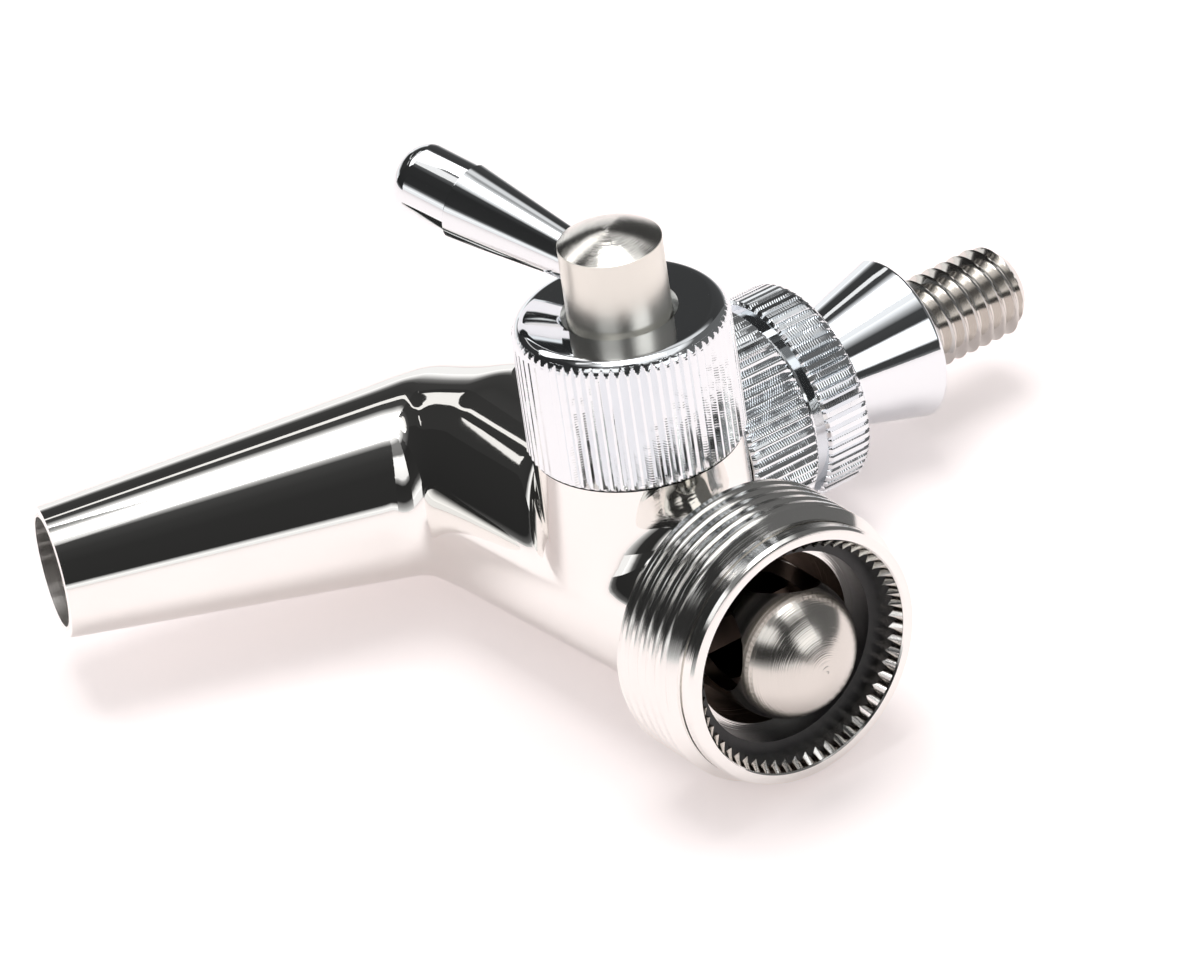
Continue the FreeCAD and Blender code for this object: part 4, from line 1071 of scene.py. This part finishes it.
FLOOR_RIGHT = CAMERA_LOOKS.cross(FLOOR_UP).normalized()
FLOOR_AWAY = FLOOR_UP.cross(FLOOR_RIGHT).normalized()
STUDIO = Matrix((FLOOR_RIGHT, FLOOR_AWAY, FLOOR_UP)).transposed()
STUDIO_CENTRE = Vector((0, -35, 0)) * MM
# In metres, and as a share of the white that the camera sees
WALL_DISTANCE, SEAM_DISTANCE, STRIP_DISTANCE = 0.6, 0.57, 0.09
ROOM_LIGHT = 0.6

# Walls round the set, seen only in reflections: a stretch of azimuth, then elevation and brightness
WALLS = {
    "wall_window": ((-172, -125), [
        (-4, 1.25), (1, 0.6), (5, 0.35), (9, 0.2), (12, 0.03), (31, 0.025), (36, 0.35), (39, 1.0),
        (60, 1.25), (63, 0.2), (76, 0.25), (84, 1.2),
    ]),
    "wall_lever": ((-125, -100), [
        (8, 1.25), (13, 0.8), (17, 0.12), (22, 0.03), (60, 0.025), (72, 0.06), (79, 1.2),
    ]),
    "wall_left": ((-100, -62), [
        (-4, 1.25), (1, 0.12), (5, 0.022), (60, 0.03), (72, 0.2), (80, 1.2),
    ]),
    "wall_far_left": ((-62, -20), [
        (5, 1.25), (10, 0.6), (16, 0.03), (60, 0.04), (66, 0.1), (73, 0.4), (78, 1.25),
    ]),
    "wall_far": ((-20, 5), [
        (12, 1.25), (15, 0.9), (20, 0.2), (24, 0.05), (37, 0.04), (55, 0.06), (59, 0.5), (64, 1.25),
    ]),
    "wall_far_right": ((5, 40), [
        (-6, 1.25), (0, 0.6), (6, 0.22), (12, 0.07), (36, 0.045), (40, 0.12), (46, 0.8), (54, 0.8),
        (59, 0.3), (66, 1.2),
    ]),
    "wall_right": ((40, 115), [(-10, 1.25), (-3, 0.15), (52, 0.13), (62, 1.2)]),
    "wall_lamp": ((115, 155), [
        (-9, 1.25), (-2, 0.25), (3, 0.05), (12, 0.05), (15, 1.4), (40, 1.4), (43, 0.05), (57, 0.06),
        (64, 0.5), (73, 1.25),
    ]),
    "wall_near": ((155, 188), [
        (3, 1.25), (6, 0.7), (9, 0.028), (45, 0.03), (62, 0.04), (76, 0.06), (81, 0.5), (84, 1.25),
    ]),
}
# Light seams between the walls, and a strip near the coupling: azimuth, elevation and width
SEAM_COLOUR = (1.0, 0.985, 0.97, 1)
STRIP_COLOUR = (1.7, 1.67, 1.65, 1)
STRIP_CENTRE = Vector((14, -5, 0)) * MM
COUPLING_STRIP = [(-54, 40, 2), (-46, 43, 9), (-30, 44.5, 10), (-14, 42, 9), (-6, 39, 3)]
SEAMS = {
    "seam_far": [
        (-5, 43.5, 5), (-10, 44.7, 4.2), (-16, 46.4, 3), (-23, 47.6, 2.2), (-30, 47.6, 2), (-35.5, 46, 2),
        (-38.6, 43, 2), (-38.4, 40, 2), (-36, 37.3, 1.8), (-32, 34.8, 1.8), (-27.5, 32.6, 1.7),
        (-23, 30.8, 1.4),
    ],
    "seam_left": [(-58, 40.4, 0.7), (-54, 41.6, 1.3), (-50, 42.4, 1.3), (-47, 42.6, 0.7)],
    "seam_top": [(-68, 66, 1), (-60, 67, 3.5), (-48, 68, 6), (-36, 67.5, 6), (-30, 66.5, 2)],
}


def toward(azimuth, elevation):
    """a direction in the studio: azimuth 0 is away from the camera and 90 to its right"""
    a, e = math.radians(azimuth), math.radians(elevation)
    return STUDIO @ Vector((math.sin(a) * math.cos(e), math.cos(a) * math.cos(e), math.sin(e)))


def seen_or_mirrored(bench, mirror_share=1.0):
    """1 for what the camera sees, mirror_share for mirrors and glass, 0 for the light on the object"""
    seen = bench.node("ShaderNodeLightPath", output=0)
    path = seen.socket.node
    mirrored = Value(bench, path.outputs["Is Glossy Ray"])
    through = Value(bench, path.outputs["Is Transmission Ray"])
    return (seen + mirror_share * (mirrored + through)).limited()


def add_floor():
    square = [(-FLOOR_REACH, -FLOOR_REACH), (FLOOR_REACH, -FLOOR_REACH),
              (FLOOR_REACH, FLOOR_REACH), (-FLOOR_REACH, FLOOR_REACH)]
    drop = FLOOR_UP * FLOOR_DROP * MM
    mesh = mesh_of("floor", [STUDIO @ Vector((x, y, 0)) - drop for x, y in square], [(0, 1, 2, 3)])
    material, bench = new_material("floor_paper")
    fibre = speckle(bench, own_place(bench), 900)
    glow = mixed(bench, seen_or_mirrored(bench, GLOW_IN_MIRRORS), PAPER_GLOW, PAPER_SEEN_GLOW)
    paper = bench.node("ShaderNodeBsdfPrincipled", inputs={
        "Base Color": mixed(bench, fibre, PAPER, PAPER_FIBRE), "Roughness": 1.0,
        "Specular IOR Level": 0.0, "Emission Color": glow, "Emission Strength": 1.0,
    })
    through = bench.node("ShaderNodeBsdfTransparent")
    behind = bench.node("ShaderNodeNewGeometry", output=6)
    end_material(bench, bench.node("ShaderNodeMixShader", inputs={0: behind, 1: paper, 2: through}))
    mesh.materials.append(material)
    floor = added("floor", mesh)


def seen_in_reflections(name, vertices, faces, colour, bench, material):
    """a part of the set that lights nothing and shows only in polished metal"""
    end_material(bench, bench.node("ShaderNodeEmission", inputs={"Color": colour, "Strength": 1.0}))
    mesh = mesh_of(name, vertices, faces)
    mesh.materials.append(material)
    made = added(name, mesh)
    made.visible_camera = made.visible_diffuse = False
    made.visible_shadow = made.visible_transmission = False


def add_wall(name, azimuths, levels, steps=24):
    """levels are (elevation, brightness) from low to high"""
    low, high = levels[0][0], levels[-1][0]
    vertices, faces = [], []
    for row, column in itertools.product(range(steps + 1), repeat=2):
        azimuth = azimuths[0] + (azimuths[1] - azimuths[0]) * column / steps
        elevation = low + (high - low) * row / steps
        vertices.append(STUDIO_CENTRE + toward(azimuth, elevation) * WALL_DISTANCE)
    for row, column in itertools.product(range(steps), repeat=2):
        corner = row * (steps + 1) + column
        faces.append((corner, corner + 1, corner + steps + 2, corner + steps + 1))
    material, bench = new_material(name)
    offset = vector_maths(bench, "SUBTRACT", own_place(bench), STUDIO_CENTRE)
    rise = vector_maths(bench, "DOT_PRODUCT", offset, FLOOR_UP, 1)
    heights = [math.sin(math.radians(elevation)) for elevation, level in levels]
    base, span = heights[0], heights[-1] - heights[0]
    stops = [((height - base) / span, (level, level, level, 1))
             for height, (elevation, level) in zip(heights, levels)]
    shade = bench.node("ShaderNodeValToRGB", {"stops": stops}, {0: (rise / WALL_DISTANCE - base) / span})
    seen_in_reflections(name, vertices, faces, shade, bench, material)


def curve_through(path, steps=6):
    """close points on a smooth curve through the given ones"""
    spots = np.array([path[0], *path, path[-1]], float)
    share = np.arange(steps)[:, None] / steps
    stretches = [
        b + share * (c - a) / 2 + share**2 * (a - 2.5 * b + 2 * c - d / 2)
        + share**3 * (1.5 * b - a / 2 - 1.5 * c + d / 2)
        for a, b, c, d in zip(spots, spots[1:], spots[2:], spots[3:])
    ]
    return np.vstack([*stretches, spots[-1:]])


def add_seam(name, path, centre=STUDIO_CENTRE, distance=SEAM_DISTANCE, colour=SEAM_COLOUR):
    """a narrow light line along a path of (azimuth, elevation, width)"""
    spots = curve_through(path)
    way = np.gradient(spots[:, :2], axis=0)
    squeeze = np.cos(np.radians(spots[:, 1]))
    way[:, 0] *= squeeze
    way /= np.linalg.norm(way, axis=1)[:, None]
    vertices = []
    for (azimuth, elevation, width), (along, up), share in zip(spots, way, squeeze):
        for side in (-0.5, 0.5):
            shifted = toward(azimuth - side * width * up / share, elevation + side * width * along)
            vertices.append(centre + shifted * distance)
    faces = [(2 * k, 2 * k + 1, 2 * k + 3, 2 * k + 2) for k in range(len(spots) - 1)]
    material, bench = new_material(name)
    seen_in_reflections(name, vertices, faces, colour, bench, material)


def add_lamp(name, azimuth, elevation, distance, size, power):
    data = bpy.data.lights.new(name, "AREA")
    data.shape, data.size, data.energy = "SQUARE", size, power
    way = toward(azimuth, elevation)
    lamp = added(name, data)
    lamp.matrix_world = (Matrix.Translation(STUDIO_CENTRE + way * distance)
                         @ way.to_track_quat("Z", "Y").to_matrix().to_4x4())
    lamp.visible_camera = False


def add_world():
    """plain white light, brighter where the camera or a mirror sees it"""
    world = bpy.data.worlds.new("studio")
    bpy.context.scene.world = world
    world.use_nodes = True
    world.node_tree.nodes.clear()
    bench = Bench(world.node_tree)
    background = bench.node("ShaderNodeBackground", inputs={
        "Color": (1, 1, 1, 1), "Strength": ROOM_LIGHT + (1 - ROOM_LIGHT) * seen_or_mirrored(bench),
    })
    bench.node("ShaderNodeOutputWorld", inputs={"Surface": background})


add_camera()
add_floor()
for wall, (stretch, wall_levels) in WALLS.items():
    add_wall(wall, stretch, wall_levels)
for seam, seam_path in SEAMS.items():
    add_seam(seam, seam_path)
add_seam("strip_over_coupling", COUPLING_STRIP, STRIP_CENTRE, STRIP_DISTANCE, STRIP_COLOUR)
add_world()
add_lamp("overhead", azimuth=-7, elevation=79, distance=0.7, size=0.42, power=2.5)
bpy.context.scene.view_settings.view_transform = "Standard"
